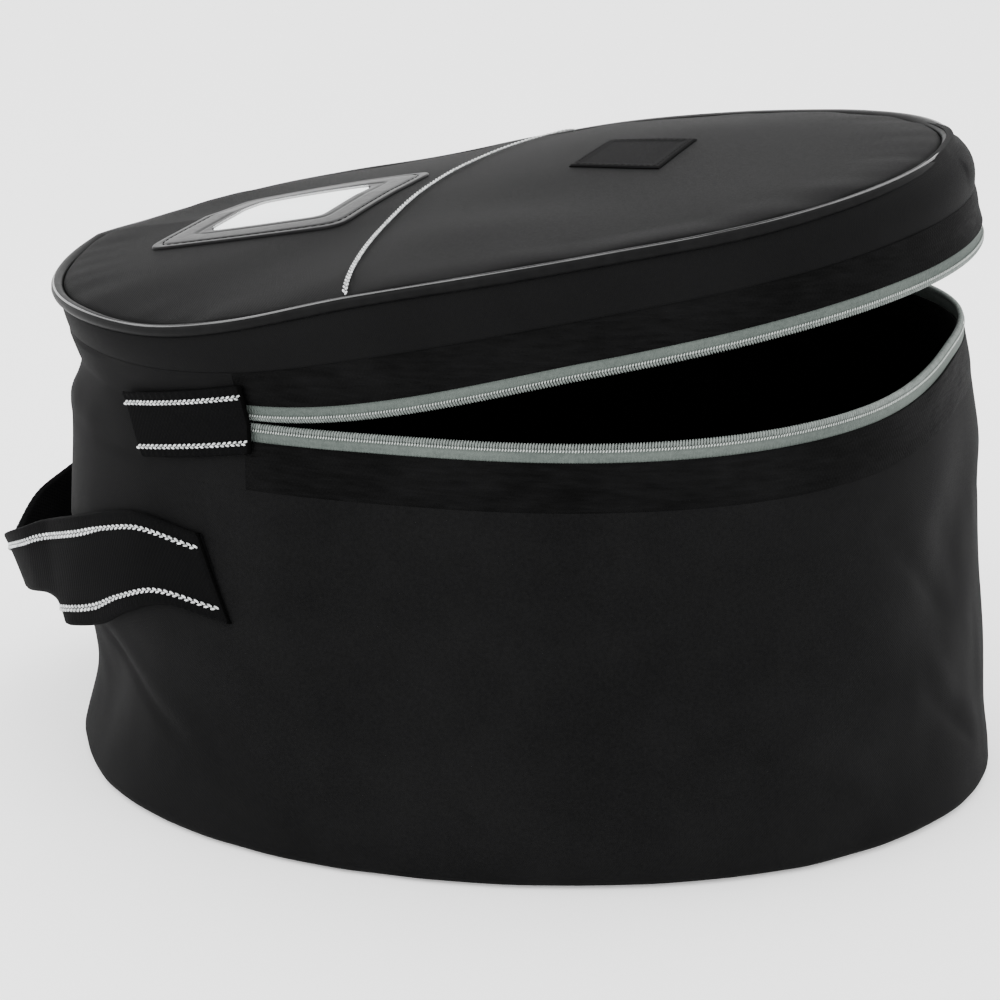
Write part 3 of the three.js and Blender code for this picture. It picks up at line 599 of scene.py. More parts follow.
def row_shares(rows, end_rows=3, end=0.04):
    """Shares of a height, closer together near both ends."""
    middle = np.linspace(end, 1 - end, rows - 2 * end_rows + 1)
    low = np.linspace(0, end, end_rows + 1)[:-1]
    return np.concatenate([low, middle, 1 - low[::-1]])


def unit(vectors):
    return vectors / np.linalg.norm(vectors, axis=-1, keepdims=True)


def beads(name, centres, along, up, half_sizes, sides=6, rings=3):
    """One mesh of rounded beads, each with its length along a direction and its top upwards."""
    along = unit(along)
    across = unit(np.cross(up, along))
    top = np.cross(along, across)
    half_sizes = np.broadcast_to(half_sizes, (len(centres), 3))
    turns = np.arange(sides) * 2 * math.pi / sides
    template = [(-1, 0, 0)]
    for ring in range(rings):
        lean = math.pi * (ring + 1) / (rings + 1)
        reach = math.sin(lean)
        for turn in turns:
            template.append((-math.cos(lean), reach * math.cos(turn), reach * math.sin(turn)))
    template.append((1, 0, 0))
    template = np.array(template)
    faces = []
    for side in range(sides):
        beyond = (side + 1) % sides
        faces.append((0, 1 + beyond, 1 + side, 1 + side))
        for ring in range(rings - 1):
            low = 1 + ring * sides
            high = low + sides
            faces.append((low + side, low + beyond, high + beyond, high + side))
        last = 1 + (rings - 1) * sides
        faces.append((last + side, last + beyond, len(template) - 1, len(template) - 1))
    axes = np.stack([along, across, top], 1)
    points = centres[:, None, :] + np.einsum("ti,ni,nij->ntj", template, half_sizes, axes)
    step = len(template) * np.arange(len(centres))
    index = np.array(faces)[None] + step[:, None, None]
    index = index.reshape(-1, 4)
    quads = [tuple(dict.fromkeys(face)) for face in index.tolist()]
    return make_object(name, points.reshape(-1, 3).tolist(), quads, sharp=180)


def along_path(points, pitch):
    """Places along a path of points at an even pitch: point numbers with fractions."""
    lengths = np.concatenate([[0], np.cumsum(np.linalg.norm(np.diff(points, axis=0), axis=1))])
    count = max(2, int(lengths[-1] / pitch))
    return np.interp((np.arange(count) + 0.5) / count * lengths[-1], lengths, np.arange(len(points)))


def read_path(values, places):
    low = np.minimum(np.floor(places).astype(int), len(values) - 2)
    return mix(values[low], values[low + 1], (places - low)[:, None])


def path_length(points):
    return float(np.linalg.norm(np.diff(points, axis=0), axis=1).sum())


def chain(name, points, ups, widths, pitch):
    """Braid along a path: two rows of beads, half a step apart and leaning towards each other."""
    places = along_path(points, pitch)
    width = read_path(np.broadcast_to(widths, len(points))[:, None], places)
    centre = read_path(points, places)
    up = unit(read_path(ups, places))
    ahead = unit(read_path(points, np.minimum(places + 0.3, len(points) - 1.001)) - centre + 1e-9)
    across = unit(np.cross(up, ahead))
    half_step = ahead * pitch * 0.25
    aside = across * width * BEAD_HALF_WIDTH + half_step
    pieces_at = np.concatenate([centre + aside, centre - aside])
    directions = np.concatenate([ahead + across * BEAD_LEAN, ahead - across * BEAD_LEAN])
    half_length = 0 * width + pitch * BEAD_HALF_LENGTH
    half_height = 0 * width + CHAIN_WIDTH * BEAD_HALF_WIDTH
    size = np.concatenate([half_length, width * BEAD_HALF_WIDTH, half_height], 1)
    return beads(name, pieces_at, directions, np.concatenate([up, up]), np.concatenate([size, size]))


# Materials

def new_material(name, **sockets):
    material = bpy.data.materials.new(name)
    material.use_nodes = True
    shader = material.node_tree.nodes["Principled BSDF"]
    for socket, value in sockets.items():
        shader.inputs[socket.replace("_", " ")].default_value = value
    return material, material.node_tree, shader


def add_node(tree, kind, **settings):
    node = tree.nodes.new(kind)
    for key, value in settings.items():
        if key in node.inputs:
            node.inputs[key].default_value = value
        else:
            setattr(node, key, value)
    return node


def math_node(tree, operation, first, second=None):
    node = tree.nodes.new("ShaderNodeMath")
    node.operation = operation
    for socket, value in zip(node.inputs, (first, second)):
        if value is None:
            continue
        if isinstance(value, (int, float)):
            socket.default_value = value
        else:
            tree.links.new(value, socket)
    return node.outputs[0]


def cloth_uv(tree):
    place = tree.nodes.new("ShaderNodeUVMap")
    place.uv_map = "cloth"
    split = tree.nodes.new("ShaderNodeSeparateXYZ")
    tree.links.new(place.outputs[0], split.inputs[0])
    return split.outputs[0], split.outputs[1]


def thread_waves(tree, thread):
    """Height of a plain weave whose threads are a thread's width apart, from -1 to 1."""
    u, v = cloth_uv(tree)
    turn = math.pi / thread
    warp = math_node(tree, "SINE", math_node(tree, "MULTIPLY", u, turn))
    weft = math_node(tree, "SINE", math_node(tree, "MULTIPLY", v, turn))
    return math_node(tree, "MULTIPLY", warp, weft)


def grain(tree, scale, stretch=(1, 1, 1), detail=4.0, roughness=0.6):
    place = tree.nodes.new("ShaderNodeTexCoord")
    mapping = add_node(tree, "ShaderNodeMapping", Scale=stretch)
    texture = add_node(tree, "ShaderNodeTexNoise", Scale=scale, Detail=detail, Roughness=roughness)
    tree.links.new(place.outputs["Object"], mapping.inputs[0])
    tree.links.new(mapping.outputs[0], texture.inputs[0])
    return texture.outputs[0]


def tint(tree, factor, low, high, start=0.3, end=0.7):
    ramp = tree.nodes.new("ShaderNodeValToRGB")
    ramp.color_ramp.elements[0].position = start
    ramp.color_ramp.elements[0].color = (*low, 1)
    ramp.color_ramp.elements[1].position = end
    ramp.color_ramp.elements[1].color = (*high, 1)
    tree.links.new(factor, ramp.inputs[0])
    return ramp.outputs[0]


def bump(tree, height, distance, strength=1.0, below=None):
    node = add_node(tree, "ShaderNodeBump", Strength=strength, Distance=distance)
    tree.links.new(height, node.inputs["Height"])
    if below is not None:
        tree.links.new(below, node.inputs["Normal"])
    return node.outputs[0]


def cloth_material(
    name, low, high, rough, shine, thread, weave_depth, grain_scale, grain_depth, stretch=(1, 1, 1),
):
    """Woven cloth: threads, an uneven grain, and a colour and gloss that vary a little."""
    material, tree, shader = new_material(name, Specular_IOR_Level=shine)
    weave = thread_waves(tree, thread)
    patches = grain(tree, 22.0, detail=3.0)
    fine = grain(tree, grain_scale, stretch)
    mixed = math_node(tree, "MULTIPLY", math_node(tree, "ADD", patches, fine), 0.5)
    colour = tint(tree, mixed, low, high, 0.36, 0.64)
    tree.links.new(colour, shader.inputs["Base Color"])
    gloss = math_node(tree, "MULTIPLY_ADD", fine, 0.2)
    gloss.node.inputs[2].default_value = rough - 0.1
    tree.links.new(gloss, shader.inputs["Roughness"])
    lower = bump(tree, fine, grain_depth)
    tree.links.new(bump(tree, weave, weave_depth, below=lower), shader.inputs["Normal"])
    return material


bag_fabric = cloth_material(
    "bag_fabric", (0.0026, 0.0026, 0.0027), (0.0048, 0.0048, 0.0049),
    0.70, 0.021, 0.00035, 0.00004, 900.0, 0.00005,
)
lid_fabric = cloth_material(
    "lid_fabric", (0.0022, 0.0022, 0.0023), (0.0033, 0.0033, 0.0034),
    0.66, 0.030, 0.00035, 0.00004, 900.0, 0.00005,
)
band_fabric = cloth_material(
    "band_fabric", (0.0004, 0.0004, 0.0004), (0.0030, 0.0030, 0.0031),
    0.72, 0.03, 0.0007, 0.00005, 340.0, 0.0009, (0.3, 0.3, 1.8),
)
webbing_fabric = cloth_material(
    "webbing", (0.0014, 0.0014, 0.0015), (0.0024, 0.0024, 0.0025),
    0.76, 0.016, 0.0009, 0.00006, 700.0, 0.00008,
)
label_fabric = cloth_material(
    "label", (0.0009, 0.0009, 0.0010), (0.0020, 0.0020, 0.0021),
    0.68, 0.02, 0.0004, 0.00008, 900.0, 0.00004,
)
zip_tape_fabric = cloth_material(
    "zip_tape", (0.046, 0.056, 0.051), (0.074, 0.087, 0.079), 0.66, 0.12, 0.0005, 0.00010, 800.0, 0.00008,
)


def plastic_material(name, low, high, rough, grain_scale, depth, coat=0.0, shine=0.5):
    material, tree, shader = new_material(
        name, Coat_Weight=coat, Coat_Roughness=0.12, Specular_IOR_Level=shine,
    )
    fine = grain(tree, grain_scale)
    tree.links.new(tint(tree, fine, low, high), shader.inputs["Base Color"])
    gloss = math_node(tree, "MULTIPLY_ADD", fine, 0.16)
    gloss.node.inputs[2].default_value = rough - 0.08
    tree.links.new(gloss, shader.inputs["Roughness"])
    tree.links.new(bump(tree, fine, depth), shader.inputs["Normal"])
    return material


zip_coil_plastic = plastic_material(
    "zip_coil", (0.085, 0.098, 0.091), (0.155, 0.172, 0.162),
    0.5, 600.0, 0.00003, 0.0, 0.2,
)
zip_thread = plastic_material("zip_thread", (0.20, 0.22, 0.21), (0.36, 0.38, 0.36), 0.5, 900.0, 0.00003)
cord_white = plastic_material(
    "reflective_cord", (0.16, 0.17, 0.17), (0.72, 0.73, 0.73),
    0.42, 520.0, 0.00008,
)
piping_black = plastic_material(
    "piping", (0.0022, 0.0022, 0.0023), (0.004, 0.004, 0.0041),
    0.46, 260.0, 0.00006, 0.0, 0.04,
)
# Colour of the thin cord along the piping: a painted highlight, lighter than the black tube and varying in
# brightness along its length.
piping_painted_highlight = plastic_material(
    "piping_painted_highlight", (0.006, 0.006, 0.006), (0.080, 0.081, 0.081),
    0.24, 26.0, 0.00006, 0.0, 0.5,
)
frame_black = plastic_material(
    "window_frame", (0.003, 0.003, 0.0032), (0.006, 0.006, 0.0063),
    0.36, 420.0, 0.00008, 0.0, 0.06,
)
# Black thread for the window's and label's stitches. Also used for the dark stitch lines across the
# webbing's ends, which stand in for the shadow where the straps meet the wall: painted shadow.
black_thread_and_painted_shadow = plastic_material(
    "black_thread_and_painted_shadow", (0.0006, 0.0006, 0.0006), (0.0014, 0.0014, 0.0014),
    0.8, 900.0, 0.00003, 0.0, 0.01,
)
card_white = plastic_material("name_card", (0.90, 0.92, 0.92), (0.97, 0.98, 0.98), 0.55, 60.0, 0.00002)
slider_metal = plastic_material("slider", (0.07, 0.07, 0.072), (0.13, 0.13, 0.132), 0.4, 500.0, 0.00003)
slider_metal.node_tree.nodes["Principled BSDF"].inputs["Metallic"].default_value = 1.0


def pane_material():
    """Clear soft sheet: nearly all light goes through, with a wavy gloss on top."""
    material, tree, shader = new_material(
        "window_pane", Base_Color=(0.95, 0.97, 0.97, 1), Roughness=0.06, Alpha=0.13, Coat_Weight=0.5,
    )
    tree.links.new(bump(tree, grain(tree, 45.0, detail=1.0), 0.0012), shader.inputs["Normal"])
    return material


clear_sheet = pane_material()


def dress(piece, material, slot_name, *nodes):
    piece.data.materials.append(material)
    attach(piece, "root")
    if nodes:
        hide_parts(*nodes)
    return piece


# Camera, light and floor

def set_camera():
    data = bpy.data.cameras.new("camera")
    data.lens = CAMERA_LENS
    data.sensor_width = 36.0
    data.clip_start = 0.01
    camera = bpy.data.objects.new("camera", data)
    back = Vector(CAMERA_BACK).normalized()
    camera.location = Vector(CAMERA_AIM) + back * CAMERA_DISTANCE
    camera.rotation_euler = back.to_track_quat("Z", "Y").to_euler()
    bpy.context.scene.collection.objects.link(camera)
    bpy.context.scene.camera = camera


def add_area_light(name, place, aim, size, power):
    data = bpy.data.lights.new(name, "AREA")
    data.shape = "RECTANGLE"
    data.size, data.size_y = size
    data.energy = power
    light = bpy.data.objects.new(name, data)
    light.location = place
    light.rotation_euler = (Vector(place) - Vector(aim)).to_track_quat("Z", "Y").to_euler()
    bpy.context.scene.collection.objects.link(light)


def set_studio():
    world = bpy.data.worlds.new("studio")
    world.use_nodes = True
    world.node_tree.nodes["Background"].inputs[0].default_value = (1, 1, 1, 1)
    world.node_tree.nodes["Background"].inputs[1].default_value = 3.0
    bpy.context.scene.world = world
    add_area_light("key", (-0.6, -1.2, 1.5), (0, 0, 0.12), (1.0, 1.0), 18)
    add_area_light("top", (0.1, 0.7, 1.5), (0, 0, 0.15), (1.4, 0.9), 4)
    add_area_light("side", (1.5, -0.5, 0.7), (0, 0, 0.12), (0.8, 1.0), 2)
    bpy.ops.mesh.primitive_plane_add(size=8, location=(0, 0, -0.0004))
    floor = bpy.context.object
    floor.name = "floor"
    material, _, _ = new_material(
        "floor", Base_Color=(0.9, 0.9, 0.9, 1), Roughness=0.7,
        Emission_Color=(1, 1, 1, 1), Emission_Strength=0.25,
    )
    floor.data.materials.append(material)


# Pieces of the body

RING = 384
ZIP_LINES = 400


def ring_angles(columns=RING):
    return np.arange(columns) / columns * 2 * math.pi


def zip_angles(lines=ZIP_LINES):
    half_turn = math.pi - ZIP_END_TURN
    return np.linspace(-half_turn, half_turn, lines)


def ring_length(angles):
    points = body_side(angles, np.full_like(angles, RIM_HEIGHT / 2))
    return path_length(np.concatenate([points, points[:1]]))


def build_wall():
    angle = ring_angles()[:, None]
    rows = 84
    corner_rows = 5
    step = np.arange(rows + 1)
    corner = BASE_CORNER_RADIUS * (np.minimum(step, corner_rows) / corner_rows) ** 2
    above = np.clip((step - corner_rows) / (rows - corner_rows), 0, 1)
    z = np.where(step <= corner_rows, corner, mix(BASE_CORNER_RADIUS, wall_top_at(angle), above))
    relief = wall_relief(angle, z)
    roll = edge_round(wall_top_at(angle) - z, 0.0001)
    outer = body_side(angle, z, roll - relief)
    inner = body_side(angle, z, WALL_THICKNESS - roll - 0.6 * relief)
    uv = grid_uv(RING, rows, ring_length(ring_angles()), RIM_HEIGHT)
    wall = sheet("wall", outer, inner, uv, ring=True)
    dress(wall, bag_fabric, "bag_fabric", "body_wall")


def build_base():
    angle = ring_angles()[:, None]
    share = np.linspace(1, 0, 40)
    edge = body_side(angle, 0.0 * share, WALL_THICKNESS + SEAM_GAP)
    flat = edge * share[:, None]
    upper = flat.copy()
    u = turn_share(angle) + 0 * share
    upper[..., 2] = BASE_THICKNESS + 0.0006 * noise(31, u, share, 9, 3) * smooth_step((1 - share) / 0.1)
    lower = flat.copy()
    lower[..., 2] = 0
    uv = np.concatenate([flat[..., :2], flat[:1, :, :2]])
    base = sheet("base", upper, lower, uv, ring=True, tip=True)
    dress(base, bag_fabric, "bag_fabric", "base_panel")


def body_strip(name, angles, bottom, top, rows, inset, thickness, relief=None, roll=0.0001):
    angle = angles[:, None]
    share = row_shares(rows)
    z = mix(bottom(angle), top(angle), share)
    height = top(angle) - bottom(angle)
    rolled = edge_round(np.minimum(share, 1 - share) * height, roll)
    raised = relief(angle, share) if relief else 0.0
    outer = body_side(angle, z, inset + rolled - raised)
    inner = body_side(angle, z, inset + thickness - rolled - raised)
    uv = grid_uv(len(angles) - 1, rows, path_length(outer[:, rows // 2]), float(height.mean()))
    return sheet(name, outer, inner, uv)


def lid_strip(name, angles, bottom, top, rows, inset, thickness, relief=None, ring=False, roll=0.0001):
    angle = angles[:, None]
    share = row_shares(rows)
    drop = mix(bottom(angle), top(angle), share)
    height = bottom(angle) - top(angle)
    rolled = edge_round(np.minimum(share, 1 - share) * height, roll)
    raised = relief(angle, share) if relief else 0.0
    outer = lid_side(angle, drop, inset + rolled - raised)
    inner = lid_side(angle, drop, inset + thickness - rolled - raised)
    columns = len(angles) if ring else len(angles) - 1
    uv = grid_uv(columns, rows, path_length(outer[:, rows // 2]), float(height.mean()))
    return sheet(name, outer, inner, uv, ring=ring)


def coil_teeth(name, edge_line, inner_line, outward):
    """A row of slanted teeth between two lines, on the outer side."""
    middle = (edge_line + inner_line) / 2
    places = along_path(middle, TOOTH_PITCH)
    centre = read_path(middle, places)
    across = read_path(edge_line - inner_line, places)
    ahead = unit(read_path(middle, np.minimum(places + 0.5, len(middle) - 1.001)) - centre + 1e-9)
    out = unit(read_path(outward, places))
    direction = unit(across) + ahead * TOOTH_SLANT
    half_height = float(np.linalg.norm(across, axis=1).mean()) / 2
    half_sizes = (half_height * 1.04, TOOTH_PITCH * 0.46, COIL_THICKNESS * 0.5)
    return beads(name, centre, direction, out, half_sizes, 8, 5)


def zip_stitches(name, line, outward, lift):
    places = along_path(line, TOOTH_PITCH)
    centre = read_path(line, places)
    ahead = unit(read_path(line, np.minimum(places + 0.5, len(line) - 1.001)) - centre + 1e-9)
    out = unit(read_path(outward, places))
    across = np.cross(out, ahead)
    return beads(name, centre + out * lift, across + 0.5 * ahead, out, (0.0005, 0.00026, 0.0002), 6, 3)


def build_rim():
    angles = zip_angles()
    band = body_strip(
        "rim_cloth", angles,
        wall_top_at,
        lambda a: wall_top_at(a) + RIM_BAND_HEIGHT,
        14, 0.0, WALL_THICKNESS, lambda a, s: side_relief(a, s, 0.0003, 41) * smooth_step(s / 0.2),
    )
    dress(band, band_fabric, "band_fabric", "rim_band")
    tape = body_strip(
        "body_tape", angles,
        lambda a: rim_at(a) - COIL_HEIGHT - TAPE_HEIGHT - 0.0012,
        lambda a: rim_at(a) - COIL_HEIGHT * 0.8,
        8, (WALL_THICKNESS - TAPE_THICKNESS) / 2, TAPE_THICKNESS, None, roll=0.0003,
    )
    dress(tape, zip_tape_fabric, "zip_tape", "body_zip_tape")
    middle_inset = WALL_THICKNESS / 2
    edge_line = body_side(angles, rim_at(angles), middle_inset)
    inner_line = body_side(angles, rim_at(angles) - COIL_HEIGHT, middle_inset)
    outward = body_side(angles, rim_at(angles), 0.0) - edge_line
    teeth = coil_teeth("body_coil", edge_line, inner_line, outward)
    dress(teeth, zip_coil_plastic, "zip_coil", "body_zip_coil")
    line = body_side(angles, rim_at(angles) - COIL_HEIGHT * 0.92, middle_inset)
    stitches = zip_stitches("body_coil_stitches", line, outward, COIL_THICKNESS * 0.5)
    dress(stitches, zip_thread, "zip_coil")


def band_bottom(angle):
    return lid_side_length(angle) * LID_BAND_SHARE


def nose_share(angle):
    return np.exp(-((signed_angle(angle) - math.radians(6)) / math.radians(30)) ** 2)


def lid_band_relief(angle, share):
    puff = 0.0035 * nose_share(angle) * np.sin(math.pi / 2 * np.minimum(1.15 * share ** 1.1, 1))
    return puff + side_relief(angle, share, 0.0005, 51)


def build_lid_side():
    angles = zip_angles()
    band = lid_strip(
        "lid_side", ring_angles(), band_bottom, lambda a: 0.0006 - 0.0036 * nose_share(a),
        16, PIPING_STANDS_PROUD, WALL_THICKNESS, lid_band_relief, ring=True,
    )
    dress(band, lid_fabric, "lid_fabric", "lid_band")
    lower = lid_strip(
        "lid_rough_band", angles,
        lambda a: lid_side_length(a) - COIL_HEIGHT - TAPE_HEIGHT - 2 * SEAM_GAP,
        band_bottom,
        14, PIPING_STANDS_PROUD, WALL_THICKNESS, lambda a, s: side_relief(a, s, 0.00022, 53),
    )
    dress(lower, band_fabric, "band_fabric", "lid_zip_band")
    tape = lid_strip(
        "lid_tape", angles,
        lambda a: lid_side_length(a) - COIL_HEIGHT * 0.8,
        lambda a: lid_side_length(a) - COIL_HEIGHT - TAPE_HEIGHT - 0.0012,
        8, PIPING_STANDS_PROUD + (WALL_THICKNESS - TAPE_THICKNESS) / 2, TAPE_THICKNESS, None, roll=0.0003,
    )
    dress(tape, zip_tape_fabric, "zip_tape", "lid_zip_tape")
    middle_inset = PIPING_STANDS_PROUD + WALL_THICKNESS / 2
    edge_line = lid_side(angles, lid_side_length(angles), middle_inset)
    inner_line = lid_side(angles, lid_side_length(angles) - COIL_HEIGHT, middle_inset)
    outward = lid_side(angles, lid_side_length(angles), 0.0) - edge_line
    teeth = coil_teeth("lid_coil", edge_line, inner_line, outward)
    dress(teeth, zip_coil_plastic, "zip_coil", "lid_zip_coil")
    line = lid_side(angles, lid_side_length(angles) - COIL_HEIGHT * 0.92, middle_inset)
    stitches = zip_stitches("lid_coil_stitches", line, outward, COIL_THICKNESS * 0.5)
    dress(stitches, zip_thread, "zip_coil")


def build_spine():
    angle = np.linspace(math.pi - ZIP_END_TURN, math.pi + ZIP_END_TURN, 200)[:, None]
    rows = 40
    share = np.linspace(0, 1, rows + 1)
    u = turn_share(angle)
    relief = 0.0005 * noise(61, u + 0.03 * share, share, 30, 3) + 0.0003 * noise(62, u, share, 90, 6)
    ends = (ZIP_END_TURN - np.abs(angle - math.pi)) / 0.08
    relief = relief * smooth_step(np.minimum(share, 1 - share) / 0.08) * smooth_step(ends)

    def face(drawn_in):
        below = body_side(angle, mix(wall_top_at(angle), rim_at(angle), np.minimum(share * 2, 1)), drawn_in)
        upper = np.maximum(share * 2 - 1, 0)
        drop = mix(lid_side_length(angle), band_bottom(angle), upper)
        above = lid_side(angle, drop, drawn_in + PIPING_STANDS_PROUD * upper)
        return np.where((share <= 0.5)[None, :, None], below, above)

    outer = face(-relief)
    inner = face(WALL_THICKNESS - relief)
    uv = grid_uv(199, rows, path_length(outer[:, rows // 2]), 0.045)
    spine = sheet("spine", outer, inner, uv)
    dress(spine, bag_fabric, "bag_fabric", "spine_panel")


# Pieces of the lid

def build_lid_top():
    angle = ring_angles()[:, None]
    share = 1 - (np.arange(72) / 71) ** 1.25
    x, y = lid_outline(angle, TOP_LENGTH + 0.0016, TOP_DEPTH + 0.0016)
    x = x * share
    y = y * share
    u = turn_share(angle) + 0 * share
    relief = 0.0003 * noise(71, u, share, 110, 2) * smooth_step((share - 0.8) / 0.18)
    roll = edge_round((1 - share) * TOP_DEPTH / 2, 0.0016)
    upper = on_soft_lid(x, y, relief - roll)
    lower = on_soft_lid(x, y, relief - WALL_THICKNESS)
    uv = np.stack([x, y], -1)
    uv = np.concatenate([uv, uv[:1]])
    top = sheet("lid_cloth", upper, lower, uv, ring=True, tip=True)
    dress(top, lid_fabric, "lid_fabric", "lid_top")


def build_piping():
    """A black piping tube, with a thin lighter cord along its upper outer side that stands in for the
    glossy tube's highlight: a painted highlight, thicker towards the nose where the highlight is brighter.
    """
    columns = 480
    angle = ring_angles(columns)
    centre = lid_edge(angle)
    out = lid_outward(angle)
    sides = 14
    u = turn_share(angle)
    radius = PIPING_RADIUS * (0.96 + 0.05 * noise(81, u, 0 * u, 60, 1))
    turn = np.arange(sides) / sides * 2 * math.pi
    ring = centre[:, None] + radius[:, None, None] * (
        out[:, None] * np.cos(turn)[None, :, None] + LID_UP * np.sin(turn)[None, :, None]
    )
    columns_at, sides_at = cells(columns, sides)
    faces = (columns_at % columns) * sides + sides_at % sides
    corner_uv = np.stack([columns_at / columns * 0.9, sides_at * 0.001], -1).reshape(-1, 2)
    piping = make_object("piping", ring.reshape(-1, 3).tolist(), faces.tolist(), corner_uv)
    dress(piping, piping_black, "piping", "lid_piping")
    # Thin light cord on the tube's upper outer side: painted highlight, thicker near the nose where the
    # highlight is brighter.
    slant = math.radians(62)
    lines = centre + (PIPING_RADIUS - 0.0001) * (out * math.cos(slant) + LID_UP * math.sin(slant))
    highlight_radius = (0.00028 + 0.0002 * nose_share(angle)) * (1 + 0.4 * noise(82, u, 0 * u, 60, 1))
    small = np.arange(8) / 8 * 2 * math.pi
    ridge = lines[:, None] + highlight_radius[:, None, None] * (
        out[:, None] * np.cos(small)[None, :, None] + LID_UP * np.sin(small)[None, :, None]
    )
    columns_at, sides_at = cells(columns, 8)
    faces = (columns_at % columns) * 8 + sides_at % 8
    dress(make_object("piping_painted_highlight_line", ridge.reshape(-1, 3).tolist(), faces.tolist()), piping_painted_highlight, "piping")


def build_trim():
    share = np.sin(np.linspace(-0.5, 0.5, 160) * math.pi) * TRIM_END_SHARE
    middle_x = TRIM_END_X - TRIM_BOW * (1 - share ** 2) - TRIM_SLANT * share
    half_depth = TOP_DEPTH / 2 * (1 - LID_TAPER * 2 * middle_x / TOP_LENGTH)
    points = on_soft_lid(middle_x, share * half_depth, SEAM_GAP + TRIM_THICKNESS / 2)
    ups = np.tile(LID_UP, (len(points), 1))
    trim = chain("seam_cord", points, ups, CHAIN_WIDTH, LONG_CHAIN_PITCH)
    dress(trim, cord_white, "seam_trim", "lid_seam_trim")


def window_outline(angle, border):
    x, y = unit_oval(angle, FRAME_ROUNDNESS)
    along = x * (FRAME_LENGTH / 2 - border)
    across = y * (FRAME_DEPTH / 2 - border)
    return FRAME_CENTRE[0] + along + across * FRAME_SKEW, FRAME_CENTRE[1] + across


def corner_angles(columns):
    """Angles that crowd towards a square's corners, where an outline turns."""
    turn = np.arange(columns) / columns * 2 * math.pi
    return turn - 0.12 * np.sin(4 * turn + math.pi)


def build_window():
    angle = corner_angles(320)[:, None]
    share = row_shares(30, 4, 0.06)
    border = share * FRAME_BORDER
    x, y = window_outline(angle, border)
    stitch_groove = 0.00045 * np.exp(-((border - 0.0030) / 0.0006) ** 2)
    inner_groove = 0.00045 * np.exp(-((border - 0.0125) / 0.0007) ** 2)
    crown = 0.0003 * np.sin(math.pi * share)
    roll = edge_round(np.minimum(border, FRAME_BORDER - border), 0.0004)
    lift = FRAME_TOP + crown - stitch_groove - inner_groove - roll
    upper = on_soft_lid(x, y, lift)
    lower = on_soft_lid(x, y, 0.00005 + 0 * share)
    uv = np.stack([x, y], -1)
    uv = np.concatenate([uv, uv[:1]])
    window = sheet("window_border", upper, lower, uv, ring=True)
    dress(window, frame_black, "window_frame", "window_frame")
    turn = corner_angles(480)
    x, y = window_outline(turn, 0.0030)
    line = on_soft_lid(x, y, FRAME_TOP - 0.0001)
    line = np.concatenate([line, line[:1]])
    stitches = stitch_row("window_stitches", line, np.tile(LID_UP, (len(line), 1)), 0.0032, 0.0022, 0.0005)
    dress(stitches, black_thread_and_painted_shadow, "window_frame")
    share = np.linspace(1, 0, 24)
    x, y = window_outline(angle, FRAME_BORDER + SEAM_GAP)
    x = mix(FRAME_CENTRE[0], x, share)
    y = mix(FRAME_CENTRE[1], y, share)
    uv = np.stack([x, y], -1)
    uv = np.concatenate([uv, uv[:1]])
    card_top = SEAM_GAP + CARD_THICKNESS
    card = sheet("card", on_soft_lid(x, y, card_top), on_soft_lid(x, y, SEAM_GAP), uv, ring=True, tip=True)
    dress(card, card_white, "name_card", "name_card")
    bottom = card_top + SEAM_GAP
    pane_top = bottom + PANE_THICKNESS
    pane = sheet("pane", on_soft_lid(x, y, pane_top), on_soft_lid(x, y, bottom), uv, ring=True, tip=True)
    dress(pane, clear_sheet, "window_pane", "window_pane")


def stitch_row(name, line, ups, pitch, length, width):
    places = along_path(line, pitch)
    centre = read_path(line, places)
    ahead = read_path(line, np.minimum(places + 0.5, len(line) - 1.001)) - centre + 1e-9
    return beads(name, centre, ahead, read_path(ups, places), (length / 2, width / 2, width * 0.4), 6, 3)


def label_place(along, across):
    return LABEL_CENTRE[0] + along + across * LABEL_SKEW, LABEL_CENTRE[1] + across - along * LABEL_SLANT


def build_label():
    """Bare woven patch with its edges turned under and sewn down."""
    across = row_shares(36, 3, 0.05)
    x, y = np.meshgrid(across - 0.5, across - 0.5, indexing="ij")
    inset = np.minimum(0.5 - np.abs(x), 0.5 - np.abs(y)) * LABEL_LENGTH
    hem = 0.00025 * smooth_step((0.0034 - inset) / 0.0006)
    roll = edge_round(inset, 0.0005)
    place_x, place_y = label_place(x * LABEL_LENGTH, y * LABEL_DEPTH)
    upper = on_soft_lid(place_x, place_y, LABEL_TOP + hem - roll)
    lower = on_soft_lid(place_x, place_y, 0.00005 + 0 * x)
    label = sheet("label", upper, lower, np.stack([place_x, place_y], -1))
    dress(label, label_fabric, "label", "label_patch")
    margin = 0.0018
    half_x = LABEL_LENGTH / 2 - margin
    half_y = LABEL_DEPTH / 2 - margin
    side = np.linspace(-1, 1, 40)
    path_x, path_y = label_place(
        np.concatenate([side, np.ones(40), -side, -np.ones(40)]) * half_x,
        np.concatenate([-np.ones(40), side, np.ones(40), -side]) * half_y,
    )
    line = on_soft_lid(path_x, path_y, LABEL_TOP + 0.0002)
    stitches = stitch_row("label_stitches", line, np.tile(LID_UP, (len(line), 1)), 0.0027, 0.0019, 0.00045)
    dress(stitches, black_thread_and_painted_shadow, "label")


# Webbing

